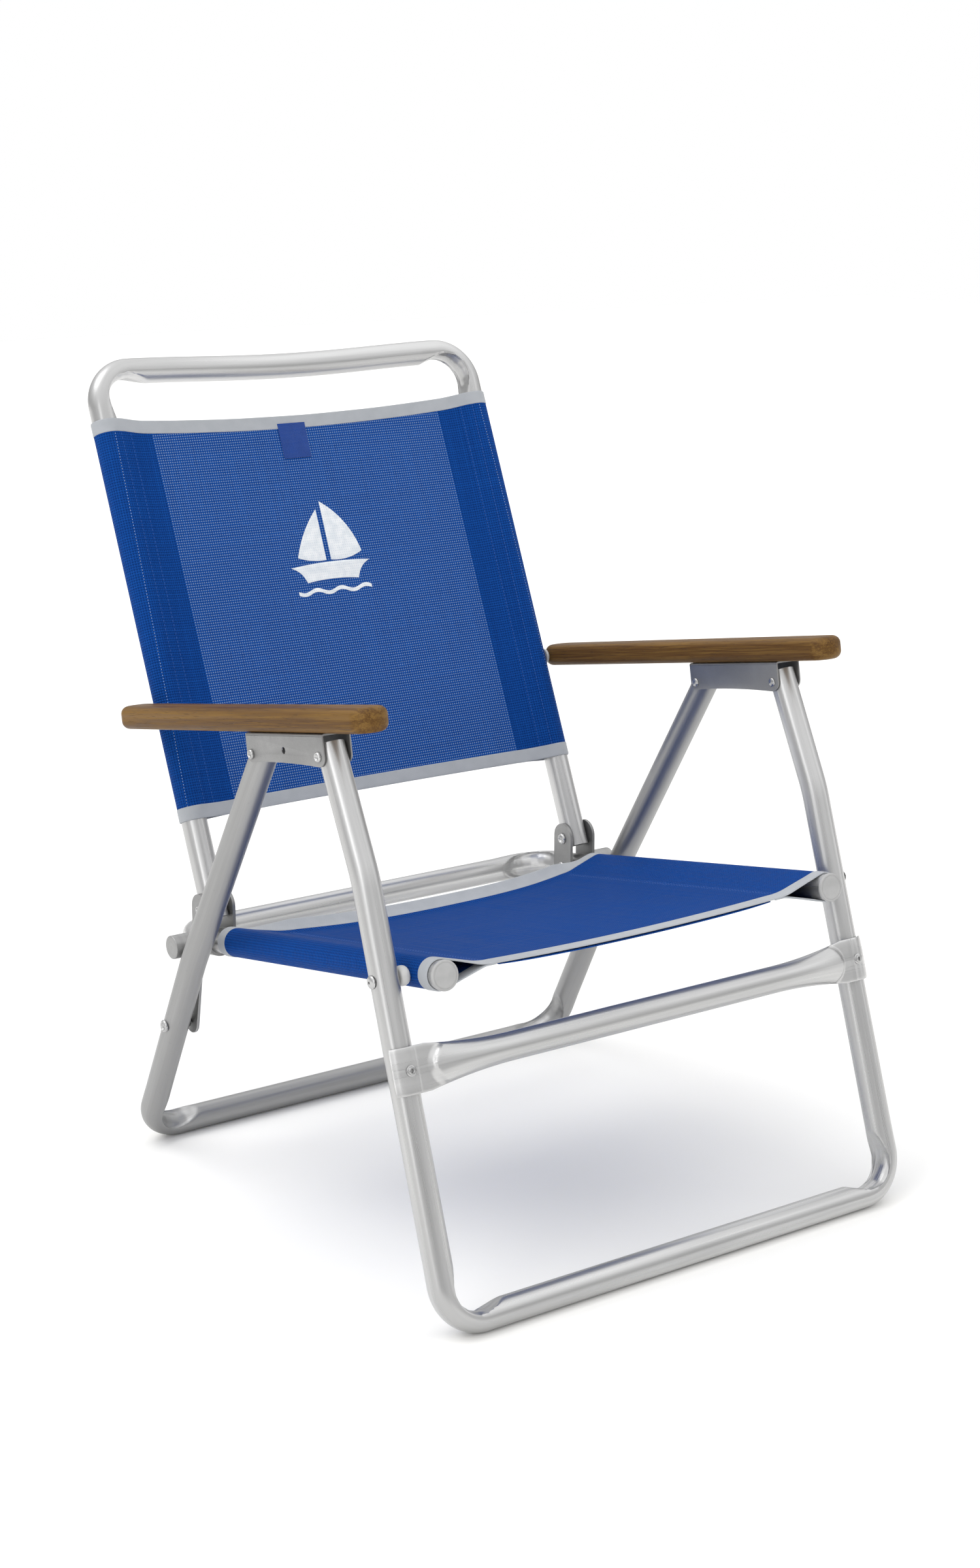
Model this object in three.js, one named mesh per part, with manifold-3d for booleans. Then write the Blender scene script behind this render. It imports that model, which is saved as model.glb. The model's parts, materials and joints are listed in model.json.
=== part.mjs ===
// Folding beach chair: aluminium tube frames, mesh slings and wooden armrests.
// Millimetres. X runs across the chair, the sitter faces -Y, +Z is up and the floor is z = 0.
// Left and right are the sitter's, so left is +X.
import * as THREE from "three";
import { mergeVertices } from "three/addons/utils/BufferGeometryUtils.js";
import Module from "manifold-3d";

const wasm = await Module();
wasm.setup();
const { Manifold, Mesh: SolidMesh } = wasm;

// ---- Driving dimensions ----

const GAP = 0.3; // clearance between neighbouring pieces
const TUBE_RADIUS = 12.7;
const TUBE_WALL = 1.2;
const CORNER_RADIUS = 36; // centre line of every U corner
const KNEE_RADIUS = 150; // gentle bend of the front legs
const REAR_KNEE_RADIUS = 250;
const TUBE_SIDES = 16;
const BORE_SIDES = 8;
const BORE_CURVE = 2.2; // how far a tube's bore curves in over the width of a pin's tail
const BEND_STEP = Math.PI / 12; // largest turn between two stations of a bend

const FRAME_X = 219.8; // centre plane of the seat arms and the back's side tubes
const LEG_X = 256.2; // centre plane of the front and rear legs

// Points of the side view, as (y, z).
const BACK_PIVOT = new THREE.Vector2(183, 262);
const FOLD_ARM = new THREE.Vector2(77, 181); // back pivot to armrest pivot, and seat pivot to front leg top
const ARMREST_PIVOT = BACK_PIVOT.clone().add(FOLD_ARM);
const FRONT_FLOOR = new THREE.Vector2(-272.5, TUBE_RADIUS);
const FRONT_KNEE = new THREE.Vector2(-149, 380);
const SEAT_PIVOT = pointAtHeight(FRONT_FLOOR, FRONT_KNEE, 297);
const FRONT_LEG_PIVOT = SEAT_PIVOT.clone().add(FOLD_ARM);
const REAR_FLOOR = new THREE.Vector2(268, TUBE_RADIUS);
const REAR_KNEE = new THREE.Vector2(159.5, 221);
const REAR_LEG_PIVOT = new THREE.Vector2(14, 457.5);
const STAY_PIVOT = new THREE.Vector2(184, 230);
const STAY_FOOT = pointAtHeight(REAR_FLOOR, REAR_KNEE, 146);
const BACK_TOP_Z = 759.9;
const BACK_TUBE_START = 10; // the back tube runs on this far below its pivot
const SEAT_FRONT_Y = -212.5;
const SEAT_REAR_Y = 248;
const LEG_TOP_EXTRA = 10; // leg tube above its bracket rivet

const PIN_RADIUS = 3;
const HEAD_RADIUS = 6;
const HEAD_HEIGHT = 2.4;
const PIN_SIDES = 8;

const FABRIC = 1.6; // doubled mesh panel
const SLEEVE_RADIUS = TUBE_RADIUS + GAP + 0.9;
const BINDING_WIDTH = 13.5;
const BINDING_EXTRA = 0.4; // binding tape over the mesh, on each face
const SLEEVE_SIDES = 18;
const BACK_SLING_LOW_Z = 342;
const BACK_SLING_HIGH_Z = 714;
const SEAT_SLING_FRONT_Y = -208;
const SEAT_SLING_REAR_Y = 142;
const LABEL = { x: -9.5, width: 33, height: 37, thickness: 0.8, z: 683.5 };

const PLATE = 3; // seat bracket and stay bars
const SEAT_BRACKET_WIDTH = 29;
const SEAT_BRACKET_TOP = 16; // above the back pivot
const STAY_WIDTH = 25;
const STAY_INNER_X = 237.2;
const BUSH_RADIUS = 11.5;
const BUSH_END_X = 267;

const SHEET = 1.5; // armrest bracket
const WOOD_WIDTH = 36;
const WOOD_THICKNESS = 22;
const WOOD_EDGE = 7.5;
const WOOD_INNER_X = 237.5;
const WOOD_X = WOOD_INNER_X + WOOD_WIDTH / 2;
const ARMREST_SLOPE = Math.atan(0.184); // the armrest falls this much towards the rear
const ARMREST_HEIGHT = 491; // armrest centre line above the origin
const ARMREST_FRONT_Y = -171;
const ARMREST_REAR_Y = 271;
const WEB_SCREW_Y = [-12, -72];
const SCREW_RADIUS = 1.9;
const SCREW_DEPTH = 13;

const STRETCHER_LEG_Z = 222; // height on the leg axis where the stretcher crosses
const STRETCHER_FLAT = 1.5; // half thickness of its crushed ends
const STRETCHER_FLAT_HALF = 20.5;

// ---- Finishes ----

const POLISHED = { color: 0xd4d6d8, roughness: 0.22, metalness: 1 };
const SATIN = { color: 0xc3c5c7, roughness: 0.45, metalness: 1 };
const BRACKET = { color: 0xa9abad, roughness: 0.4, metalness: 0.9 };
const RIVET = { color: 0xdadcde, roughness: 0.25, metalness: 1 };
const MESH_BLUE = { color: 0x1d4a9c, roughness: 0.75, metalness: 0 };
const BINDING = { color: 0xd9dcdc, roughness: 0.8, metalness: 0 };
const TEAK = { color: 0x8a6236, roughness: 0.55, metalness: 0 };
const WHITE_PLASTIC = { color: 0xe4e4e2, roughness: 0.45, metalness: 0 };
const GREY_PLASTIC = { color: 0xc6c7c6, roughness: 0.4, metalness: 0 };

const AXIS_X = new THREE.Vector3(1, 0, 0);
const chair = new THREE.Group();

// ---- Points and directions ----

function pointAtHeight(low, high, z) {
  return low.clone().lerp(high, (z - low.y) / (high.y - low.y));
}

function atX(x, sidePoint) {
  return new THREE.Vector3(x, sidePoint.x, sidePoint.y);
}

function direction(from, to) {
  return to.clone().sub(from).normalize();
}

function polygon(radius, sides, centreX = 0) {
  const points = [];
  for (let i = 0; i < sides; i++) {
    const angle = ((i + 0.5) / sides) * 2 * Math.PI;
    points.push(new THREE.Vector2(centreX + radius * Math.cos(angle), radius * Math.sin(angle)));
  }
  return points;
}

// A frame whose x axis is across the chair and whose y axis is the given side-view direction.
function acrossFrame(origin, upward) {
  const y = new THREE.Vector3(0, upward.x, upward.y);
  const z = AXIS_X.clone().cross(y);
  return new THREE.Matrix4().makeBasis(AXIS_X, y, z).setPosition(0, origin.x, origin.y);
}

// A frame whose z axis is across the chair, for outlines drawn in the side view.
const SIDE_FRAME = new THREE.Matrix4().makeBasis(
  new THREE.Vector3(0, 1, 0), new THREE.Vector3(0, 0, 1), AXIS_X);

// ---- Solids ----

function toSolid(geometry) {
  const bare = geometry.clone();
  bare.deleteAttribute("normal");
  bare.deleteAttribute("uv");
  const merged = mergeVertices(bare, 1e-4);
  return new Manifold(new SolidMesh({
    numProp: 3,
    vertProperties: new Float32Array(merged.attributes.position.array),
    triVerts: new Uint32Array(merged.index.array),
  }));
}

function toGeometry(solid) {
  const mesh = solid.getMesh();
  const geometry = new THREE.BufferGeometry();
  geometry.setAttribute("position", new THREE.BufferAttribute(new Float32Array(mesh.vertProperties), 3));
  geometry.setIndex(new THREE.BufferAttribute(new Uint32Array(mesh.triVerts), 1));
  geometry.computeVertexNormals();
  return geometry;
}

function addPiece(name, geometry, finish) {
  const piece = new THREE.Mesh(geometry, new THREE.MeshStandardMaterial(finish));
  piece.name = name;
  chair.add(piece);
}

function eachSide(make) {
  make("left", 1);
  make("right", -1);
}

// A round tool along any line, for bores.
function drill(from, to, radius) {
  const length = from.distanceTo(to);
  const tool = new THREE.CylinderGeometry(radius, radius, length, PIN_SIDES);
  const turn = new THREE.Quaternion().setFromUnitVectors(new THREE.Vector3(0, 1, 0), direction(from, to));
  tool.applyQuaternion(turn);
  const middle = from.clone().lerp(to, 0.5);
  tool.translate(middle.x, middle.y, middle.z);
  return toSolid(tool);
}

function boreAcross(sidePoint, sign, fromX, toX) {
  return drill(atX(sign * fromX, sidePoint), atX(sign * toX, sidePoint), PIN_RADIUS + GAP);
}

function withBores(geometry, bores) {
  return toGeometry(toSolid(geometry).subtract(Manifold.union(bores)));
}

function bothSides(makeBore) {
  return [makeBore(1), makeBore(-1)];
}

// ---- Bent tubes ----

// A tube's centre line: straight runs and arcs, with stations only at its ends and round its bends.
class BentPath extends THREE.Curve {
  constructor(corners, bendRadii) {
    super();
    this.stations = [];
    const last = corners.length - 1;
    this.addStation(corners[0], direction(corners[0], corners[1]));
    for (let i = 1; i < last; i++) {
      this.addBend(corners[i - 1], corners[i], corners[i + 1], bendRadii[i - 1]);
    }
    this.addStation(corners[last], direction(corners[last - 1], corners[last]));
  }

  addStation(point, tangent) {
    this.stations.push({ point, tangent });
  }

  addBend(before, corner, after, radius) {
    const into = direction(before, corner);
    const out = direction(corner, after);
    const turn = into.angleTo(out);
    const inward = out.clone().addScaledVector(into, -out.dot(into)).normalize();
    const start = corner.clone().addScaledVector(into, -radius * Math.tan(turn / 2));
    const steps = Math.ceil(turn / BEND_STEP);
    for (let i = 0; i <= steps; i++) {
      const angle = (turn * i) / steps;
      const point = start.clone().addScaledVector(into, radius * Math.sin(angle));
      point.addScaledVector(inward, radius * (1 - Math.cos(angle)));
      const tangent = into.clone().multiplyScalar(Math.cos(angle));
      this.addStation(point, tangent.addScaledVector(inward, Math.sin(angle)));
    }
  }

  stationAt(u) {
    return this.stations[Math.round(u * (this.stations.length - 1))];
  }

  getPoint(u, target = new THREE.Vector3()) {
    return target.copy(this.stationAt(u).point);
  }

  getPointAt(u, target) {
    return this.getPoint(u, target);
  }

  getTangent(u, target = new THREE.Vector3()) {
    return target.copy(this.stationAt(u).tangent);
  }

  getTangentAt(u, target) {
    return this.getTangent(u, target);
  }
}

function bentTube(corners, bendRadii) {
  const path = new BentPath(corners, bendRadii);
  const section = new THREE.Shape(polygon(TUBE_RADIUS, TUBE_SIDES));
  section.holes.push(new THREE.Path(polygon(TUBE_RADIUS - TUBE_WALL, BORE_SIDES)));
  const steps = path.stations.length - 1;
  return new THREE.ExtrudeGeometry(section, { steps, extrudePath: path });
}

// ---- Turned pieces ----

// A profile of (radius, distance) points turned about the line through a point along a direction.
function turned(profile, origin, along, sides = PIN_SIDES) {
  const points = profile.map(([radius, distance]) => new THREE.Vector2(radius, distance));
  const geometry = new THREE.LatheGeometry(points, sides);
  const turn = new THREE.Quaternion().setFromUnitVectors(new THREE.Vector3(0, 1, 0), along);
  geometry.applyQuaternion(turn);
  geometry.translate(origin.x, origin.y, origin.z);
  return geometry;
}

function turnedAcross(profile, sidePoint, sign, sides) {
  return turned(profile, atX(0, sidePoint), new THREE.Vector3(sign, 0, 0), sides);
}

// Head domes and shank of a rivet that lies along its axis from one distance to another.
function rivetProfile(from, to, innerHead = HEAD_RADIUS, outerHead = HEAD_RADIUS) {
  const dome = 0.7;
  return [
    [0, from - HEAD_HEIGHT], [innerHead * dome, from - HEAD_HEIGHT * dome], [innerHead, from],
    [PIN_RADIUS, from], [PIN_RADIUS, to],
    [outerHead, to], [outerHead * dome, to + HEAD_HEIGHT * dome], [0, to + HEAD_HEIGHT],
  ];
}

// The tail of a blind pin, flared inside a side tube's bore, and the start of its shank.
function flaredTail() {
  const flare = 4.5;
  const flareHeight = 3;
  const face = FRAME_X + TUBE_RADIUS - TUBE_WALL - BORE_CURVE;
  return [[0, face - flareHeight], [flare, face - flareHeight], [flare, face], [PIN_RADIUS, face]];
}

// A closed ring profile between two distances.
function washerProfile(radius, bore, from, to) {
  const edge = Math.min(1, (to - from) / 4);
  return [
    [bore, from], [radius - edge, from], [radius, from + edge],
    [radius, to - edge], [radius - edge, to], [bore, to], [bore, from],
  ];
}

// ---- Slings ----

// A mesh panel with a sleeve round each side tube, as one section across the chair.
function slingSection(extra) {
  const half = FABRIC / 2 + extra;
  const radius = SLEEVE_RADIUS + extra;
  const open = Math.asin(half / radius);
  const points = [];
  for (const [centre, facing] of [[FRAME_X, Math.PI], [-FRAME_X, 0]]) {
    for (let i = 0; i <= SLEEVE_SIDES; i++) {
      const angle = facing + open + ((2 * Math.PI - 2 * open) * i) / SLEEVE_SIDES;
      points.push(new THREE.Vector2(centre + radius * Math.cos(angle), radius * Math.sin(angle)));
    }
  }
  const section = new THREE.Shape(points);
  for (const centre of [FRAME_X, -FRAME_X]) {
    section.holes.push(new THREE.Path(polygon(TUBE_RADIUS + GAP, SLEEVE_SIDES, centre)));
  }
  return section;
}

// A sling or a binding between two points of its tubes' side-view line.
function slingStretch(from, to, extra) {
  const along = direction(from, to);
  const upward = new THREE.Vector2(along.y, -along.x);
  const depth = from.distanceTo(to);
  const geometry = new THREE.ExtrudeGeometry(slingSection(extra), { depth, bevelEnabled: false });
  return geometry.applyMatrix4(acrossFrame(from, upward));
}

// ---- Side-view lines of the frames ----

const BACK_ALONG = FOLD_ARM.clone().normalize();
const SEAT_ALONG = direction(SEAT_PIVOT, STAY_PIVOT);
const FRONT_LEG_ALONG = direction(FRONT_FLOOR, FRONT_KNEE);

function backPointAtZ(z) {
  return BACK_PIVOT.clone().addScaledVector(BACK_ALONG, (z - BACK_PIVOT.y) / BACK_ALONG.y);
}

function seatPointAtY(y) {
  return SEAT_PIVOT.clone().addScaledVector(SEAT_ALONG, (y - SEAT_PIVOT.x) / SEAT_ALONG.x);
}

// ---- Back ----

function addBackFrame() {
  const foot = BACK_PIVOT.clone().addScaledVector(BACK_ALONG, -BACK_TUBE_START);
  const top = backPointAtZ(BACK_TOP_Z);
  const corners = [atX(-FRAME_X, foot), atX(-FRAME_X, top), atX(FRAME_X, top), atX(FRAME_X, foot)];
  const tube = bentTube(corners, [CORNER_RADIUS, CORNER_RADIUS]);
  const outerX = FRAME_X + 2 * TUBE_RADIUS;
  const bores = [
    ...bothSides((sign) => boreAcross(BACK_PIVOT, sign, FRAME_X - 2 * TUBE_RADIUS, outerX)),
    ...bothSides((sign) => boreAcross(ARMREST_PIVOT, sign, FRAME_X, outerX)),
  ];
  addPiece("back_frame", withBores(tube, bores), POLISHED);
}

function addBackSling() {
  const low = backPointAtZ(BACK_SLING_LOW_Z);
  const high = backPointAtZ(BACK_SLING_HIGH_Z);
  const meshLow = low.clone().addScaledVector(BACK_ALONG, BINDING_WIDTH);
  const meshHigh = high.clone().addScaledVector(BACK_ALONG, -BINDING_WIDTH);
  const bores = bothSides((sign) => boreAcross(ARMREST_PIVOT, sign, FRAME_X, FRAME_X + 2 * TUBE_RADIUS));
  addPiece("back_sling", withBores(slingStretch(meshLow, meshHigh, 0), bores), MESH_BLUE);
  const tapeTop = meshLow.clone().addScaledVector(BACK_ALONG, -GAP);
  addPiece("back_binding_bottom", slingStretch(low, tapeTop, BINDING_EXTRA), BINDING);
  const tapeBottom = meshHigh.clone().addScaledVector(BACK_ALONG, GAP);
  addPiece("back_binding_top", slingStretch(tapeBottom, high, BINDING_EXTRA), BINDING);
}

function addLabelTab() {
  const tab = new THREE.BoxGeometry(LABEL.width, LABEL.thickness, LABEL.height);
  tab.rotateX(-Math.atan2(BACK_ALONG.x, BACK_ALONG.y));
  const centre = backPointAtZ(LABEL.z);
  const forward = new THREE.Vector2(-BACK_ALONG.y, BACK_ALONG.x);
  centre.addScaledVector(forward, FABRIC / 2 + GAP + LABEL.thickness / 2);
  tab.translate(LABEL.x, centre.x, centre.y);
  addPiece("label_tab", tab, BINDING);
}

// ---- Seat ----

function addSeatFrame() {
  const front = seatPointAtY(SEAT_FRONT_Y);
  const rear = seatPointAtY(SEAT_REAR_Y);
  const corners = [atX(-FRAME_X, front), atX(-FRAME_X, rear), atX(FRAME_X, rear), atX(FRAME_X, front)];
  const tube = bentTube(corners, [CORNER_RADIUS, CORNER_RADIUS]);
  const outerX = FRAME_X + 2 * TUBE_RADIUS;
  const bores = [
    ...bothSides((sign) => boreAcross(STAY_PIVOT, sign, FRAME_X - 2 * TUBE_RADIUS, outerX)),
    ...bothSides((sign) => boreAcross(SEAT_PIVOT, sign, FRAME_X, outerX)),
  ];
  addPiece("seat_frame", withBores(tube, bores), POLISHED);
}

function addSeatCaps() {
  const lip = 1.2;
  const rim = TUBE_RADIUS + 0.8;
  const plug = (TUBE_RADIUS - TUBE_WALL) * Math.cos(Math.PI / BORE_SIDES) - GAP;
  const plugDepth = 12;
  const capHeight = 4;
  const profile = [
    [0, -plugDepth], [plug, -plugDepth], [plug, GAP], [rim, GAP],
    [rim, capHeight - lip], [rim - lip, capHeight], [0, capHeight + lip / 2],
  ];
  const outward = new THREE.Vector3(0, -SEAT_ALONG.x, -SEAT_ALONG.y);
  eachSide((side, sign) => {
    const end = atX(sign * FRAME_X, seatPointAtY(SEAT_FRONT_Y));
    addPiece(`seat_cap_${side}`, turned(profile, end, outward, TUBE_SIDES), GREY_PLASTIC);
  });
}

function addSeatSling() {
  const front = seatPointAtY(SEAT_SLING_FRONT_Y);
  const rear = seatPointAtY(SEAT_SLING_REAR_Y);
  const meshFront = front.clone().addScaledVector(SEAT_ALONG, BINDING_WIDTH);
  const meshRear = rear.clone().addScaledVector(SEAT_ALONG, -BINDING_WIDTH);
  const bores = bothSides((sign) => boreAcross(SEAT_PIVOT, sign, FRAME_X, FRAME_X + 2 * TUBE_RADIUS));
  addPiece("seat_sling", withBores(slingStretch(meshFront, meshRear, 0), bores), MESH_BLUE);
  const tapeRear = meshFront.clone().addScaledVector(SEAT_ALONG, -GAP);
  addPiece("seat_binding_front", slingStretch(front, tapeRear, BINDING_EXTRA), BINDING);
  const tapeFront = meshRear.clone().addScaledVector(SEAT_ALONG, GAP);
  addPiece("seat_binding_rear", slingStretch(tapeFront, rear, BINDING_EXTRA), BINDING);
}

// ---- Seat brackets, stays and stop bushes ----

// A U of plate that hugs the underside of a seat arm, cut to a round-topped strip.
function seatBracket(sign) {
  const inner = TUBE_RADIUS + GAP;
  const outer = inner + PLATE;
  const tall = 60;
  const section = new THREE.Shape();
  section.moveTo(-outer, tall);
  section.absarc(0, 0, outer, Math.PI, 2 * Math.PI, false);
  section.lineTo(outer, tall);
  section.lineTo(inner, tall);
  section.absarc(0, 0, inner, 2 * Math.PI, Math.PI, true);
  section.lineTo(-inner, tall);
  const length = 60;
  const options = { depth: length, bevelEnabled: false, curveSegments: 8 };
  const channel = new THREE.ExtrudeGeometry(section, options);
  const upward = new THREE.Vector2(-SEAT_ALONG.y, SEAT_ALONG.x);
  const start = STAY_PIVOT.clone().addScaledVector(SEAT_ALONG, length / 2);
  channel.applyMatrix4(acrossFrame(start, upward));
  channel.translate(sign * FRAME_X, 0, 0);

  const half = SEAT_BRACKET_WIDTH / 2;
  const strip = new THREE.Shape();
  strip.moveTo(BACK_PIVOT.x - half, STAY_PIVOT.y - tall);
  strip.lineTo(BACK_PIVOT.x + half, STAY_PIVOT.y - tall);
  strip.absarc(BACK_PIVOT.x, BACK_PIVOT.y + SEAT_BRACKET_TOP - half, half, 0, Math.PI, false);
  const reach = FRAME_X + 2 * outer;
  const cutter = new THREE.ExtrudeGeometry(strip, { depth: 2 * reach, bevelEnabled: false, curveSegments: 8 });
  cutter.applyMatrix4(SIDE_FRAME);
  cutter.translate(-reach, 0, 0);

  const bores = [BACK_PIVOT, STAY_PIVOT].map((pivot) => {
    return boreAcross(pivot, sign, FRAME_X - 2 * outer, FRAME_X + 2 * outer);
  });
  return toGeometry(toSolid(channel).intersect(toSolid(cutter)).subtract(Manifold.union(bores)));
}

function stayBar(sign) {
  const along = direction(STAY_PIVOT, STAY_FOOT);
  const half = STAY_WIDTH / 2;
  const facing = Math.atan2(along.y, along.x);
  const outline = new THREE.Shape();
  const quarter = Math.PI / 2;
  outline.absarc(STAY_FOOT.x, STAY_FOOT.y, half, facing - quarter, facing + quarter, false);
  outline.absarc(STAY_PIVOT.x, STAY_PIVOT.y, half, facing + quarter, facing + 3 * quarter, false);
  for (const pivot of [STAY_PIVOT, STAY_FOOT]) {
    const hole = polygon(PIN_RADIUS + GAP, PIN_SIDES).map((point) => point.add(pivot));
    outline.holes.push(new THREE.Path(hole));
  }
  const bar = new THREE.ExtrudeGeometry(outline, { depth: PLATE, bevelEnabled: false, curveSegments: 8 });
  bar.applyMatrix4(SIDE_FRAME);
  const start = sign > 0 ? STAY_INNER_X : -STAY_INNER_X - PLATE;
  return bar.translate(start, 0, 0);
}

function stopBushProfile() {
  const start = STAY_INNER_X + PLATE + GAP;
  const bore = PIN_RADIUS + GAP;
  const boreEnd = BUSH_END_X - 5;
  const edge = 1.5;
  return [
    [0, boreEnd], [bore, boreEnd], [bore, start], [BUSH_RADIUS, start],
    [BUSH_RADIUS, BUSH_END_X - edge], [BUSH_RADIUS - edge, BUSH_END_X], [0, BUSH_END_X],
  ];
}

// The pin of a stay: a head inside the seat bracket and a plain end inside the bush.
function stayPinProfile() {
  const headFace = FRAME_X - TUBE_RADIUS - PLATE - 2 * GAP;
  const end = BUSH_END_X - 5 - GAP;
  return [
    [0, headFace - HEAD_HEIGHT], [HEAD_RADIUS, headFace - HEAD_HEIGHT / 2], [HEAD_RADIUS, headFace],
    [PIN_RADIUS, headFace], [PIN_RADIUS, end], [0, end],
  ];
}

function addStays() {
  const bracketInner = FRAME_X - TUBE_RADIUS - PLATE - 2 * GAP;
  const bracketOuter = FRAME_X + TUBE_RADIUS + PLATE + 2 * GAP;
  const stayHead = STAY_INNER_X - GAP;
  const stayStub = [
    [0, stayHead - HEAD_HEIGHT], [HEAD_RADIUS, stayHead - HEAD_HEIGHT / 2], [HEAD_RADIUS, stayHead],
    [PIN_RADIUS, stayHead], [PIN_RADIUS, STAY_INNER_X + PLATE], [0, STAY_INNER_X + PLATE],
  ];
  eachSide((side, sign) => {
    addPiece(`seat_bracket_${side}`, seatBracket(sign), BRACKET);
    const backPin = rivetProfile(bracketInner, bracketOuter, HEAD_RADIUS, HEAD_RADIUS - 1);
    addPiece(`back_pivot_rivet_${side}`, turnedAcross(backPin, BACK_PIVOT, sign), RIVET);
    addPiece(`stay_pin_${side}`, turnedAcross(stayPinProfile(), STAY_PIVOT, sign), RIVET);
    addPiece(`stop_bush_${side}`, turnedAcross(stopBushProfile(), STAY_PIVOT, sign, TUBE_SIDES), SATIN);
    addPiece(`stay_${side}`, stayBar(sign), SATIN);
    addPiece(`stay_foot_stud_${side}`, turnedAcross(stayStub, STAY_FOOT, sign), RIVET);
  });
}

// ---- Armrests ----

const WOOD_ALONG = new THREE.Vector2(Math.cos(ARMREST_SLOPE), -Math.sin(ARMREST_SLOPE)); // to the rear
const WOOD_UP = new THREE.Vector2(Math.sin(ARMREST_SLOPE), Math.cos(ARMREST_SLOPE));
const WOOD_ORIGIN = new THREE.Vector2(0, ARMREST_HEIGHT);

// Side-view point from a distance along the armrest and a height over its centre line.
function woodPoint(along, up) {
  return WOOD_ORIGIN.clone().addScaledVector(WOOD_ALONG, along).addScaledVector(WOOD_UP, up);
}

function alongWood(sidePoint) {
  return sidePoint.clone().sub(WOOD_ORIGIN).dot(WOOD_ALONG);
}

function aboveWood(sidePoint) {
  return sidePoint.clone().sub(WOOD_ORIGIN).dot(WOOD_UP);
}

function woodBlank() {
  const half = WOOD_WIDTH / 2;
  const front = ARMREST_FRONT_Y / WOOD_ALONG.x + half;
  const rear = ARMREST_REAR_Y / WOOD_ALONG.x - half;
  const outline = new THREE.Shape();
  outline.absarc(0, rear, half, 0, Math.PI, false);
  outline.absarc(0, front, half, Math.PI, 2 * Math.PI, false);
  const blank = new THREE.ExtrudeGeometry(outline, {
    depth: WOOD_THICKNESS - 2 * WOOD_EDGE,
    bevelThickness: WOOD_EDGE,
    bevelSize: WOOD_EDGE,
    bevelOffset: -WOOD_EDGE,
    bevelSegments: 2,
    curveSegments: 6,
  });
  blank.translate(0, 0, WOOD_EDGE - WOOD_THICKNESS / 2);
  const along = new THREE.Vector3(0, WOOD_ALONG.x, WOOD_ALONG.y);
  const up = new THREE.Vector3(0, WOOD_UP.x, WOOD_UP.y);
  return blank.applyMatrix4(new THREE.Matrix4().makeBasis(AXIS_X, along, up).setPosition(0, 0, ARMREST_HEIGHT));
}

function screwLine(y) {
  const along = y / WOOD_ALONG.x;
  return { foot: woodPoint(along, -WOOD_THICKNESS), tip: woodPoint(along, SCREW_DEPTH - WOOD_THICKNESS / 2) };
}

function screwBores(sign) {
  return WEB_SCREW_Y.map((y) => {
    const { foot, tip } = screwLine(y);
    return drill(atX(sign * LEG_X, foot), atX(sign * LEG_X, tip), SCREW_RADIUS + GAP);
  });
}

function armrest(sign) {
  const blank = woodBlank().translate(sign * WOOD_X, 0, 0);
  const pinBore = boreAcross(ARMREST_PIVOT, sign, WOOD_INNER_X - WOOD_WIDTH / 2, WOOD_X + 6);
  return withBores(blank, [pinBore, ...screwBores(sign)]);
}

// An inverted U of sheet under the armrest, with rounded ears at its two leg rivets.
function armrestBracket(sign) {
  const inner = TUBE_RADIUS + GAP;
  const outer = inner + SHEET;
  const top = -WOOD_THICKNESS / 2 - GAP;
  const deep = top - 40;
  const section = new THREE.Shape([
    new THREE.Vector2(-outer, deep), new THREE.Vector2(-inner, deep), new THREE.Vector2(-inner, top - SHEET),
    new THREE.Vector2(inner, top - SHEET), new THREE.Vector2(inner, deep), new THREE.Vector2(outer, deep),
    new THREE.Vector2(outer, top), new THREE.Vector2(-outer, top),
  ]);
  const length = 200;
  const channel = new THREE.ExtrudeGeometry(section, { depth: length, bevelEnabled: false });
  channel.applyMatrix4(acrossFrame(woodPoint(length / 2, 0), WOOD_UP));
  channel.translate(sign * LEG_X, 0, 0);

  const reach = LEG_X + 2 * outer;
  const cutter = new THREE.ExtrudeGeometry(bracketOutline(top), {
    depth: 2 * reach,
    bevelEnabled: false,
    curveSegments: 6,
  });
  cutter.applyMatrix4(new THREE.Matrix4().makeBasis(
    new THREE.Vector3(0, WOOD_ALONG.x, WOOD_ALONG.y),
    new THREE.Vector3(0, WOOD_UP.x, WOOD_UP.y),
    AXIS_X).setPosition(-reach, 0, ARMREST_HEIGHT));

  const vent = new THREE.Vector2(-41.6, 472);
  const bores = [
    ...[REAR_LEG_PIVOT, FRONT_LEG_PIVOT].map((pivot) => boreAcross(pivot, sign, LEG_X - 2 * outer, reach)),
    boreAcross(vent, sign, LEG_X, reach),
    ...screwBores(sign),
  ];
  return toGeometry(toSolid(channel).intersect(toSolid(cutter)).subtract(Manifold.union(bores)));
}

// The bracket's side outline, as (distance to the rear, height over the wood's centre line).
function bracketOutline(top) {
  const ear = 7.2;
  const frontEar = 9;
  const waist = 5;
  const rearX = alongWood(REAR_LEG_PIVOT);
  const rearY = aboveWood(REAR_LEG_PIVOT);
  const frontX = alongWood(FRONT_LEG_PIVOT);
  const frontY = aboveWood(FRONT_LEG_PIVOT);
  const outline = new THREE.Shape();
  outline.moveTo(rearX + ear, top + SHEET);
  outline.lineTo(frontX - frontEar, top + SHEET);
  outline.absarc(frontX, frontY, frontEar, Math.PI, 1.5 * Math.PI, false);
  outline.quadraticCurveTo((frontX + rearX) / 2, frontY - frontEar + 2 * waist, rearX, rearY - ear);
  outline.absarc(rearX, rearY, ear, 1.5 * Math.PI, 2 * Math.PI, false);
  return outline;
}

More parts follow.
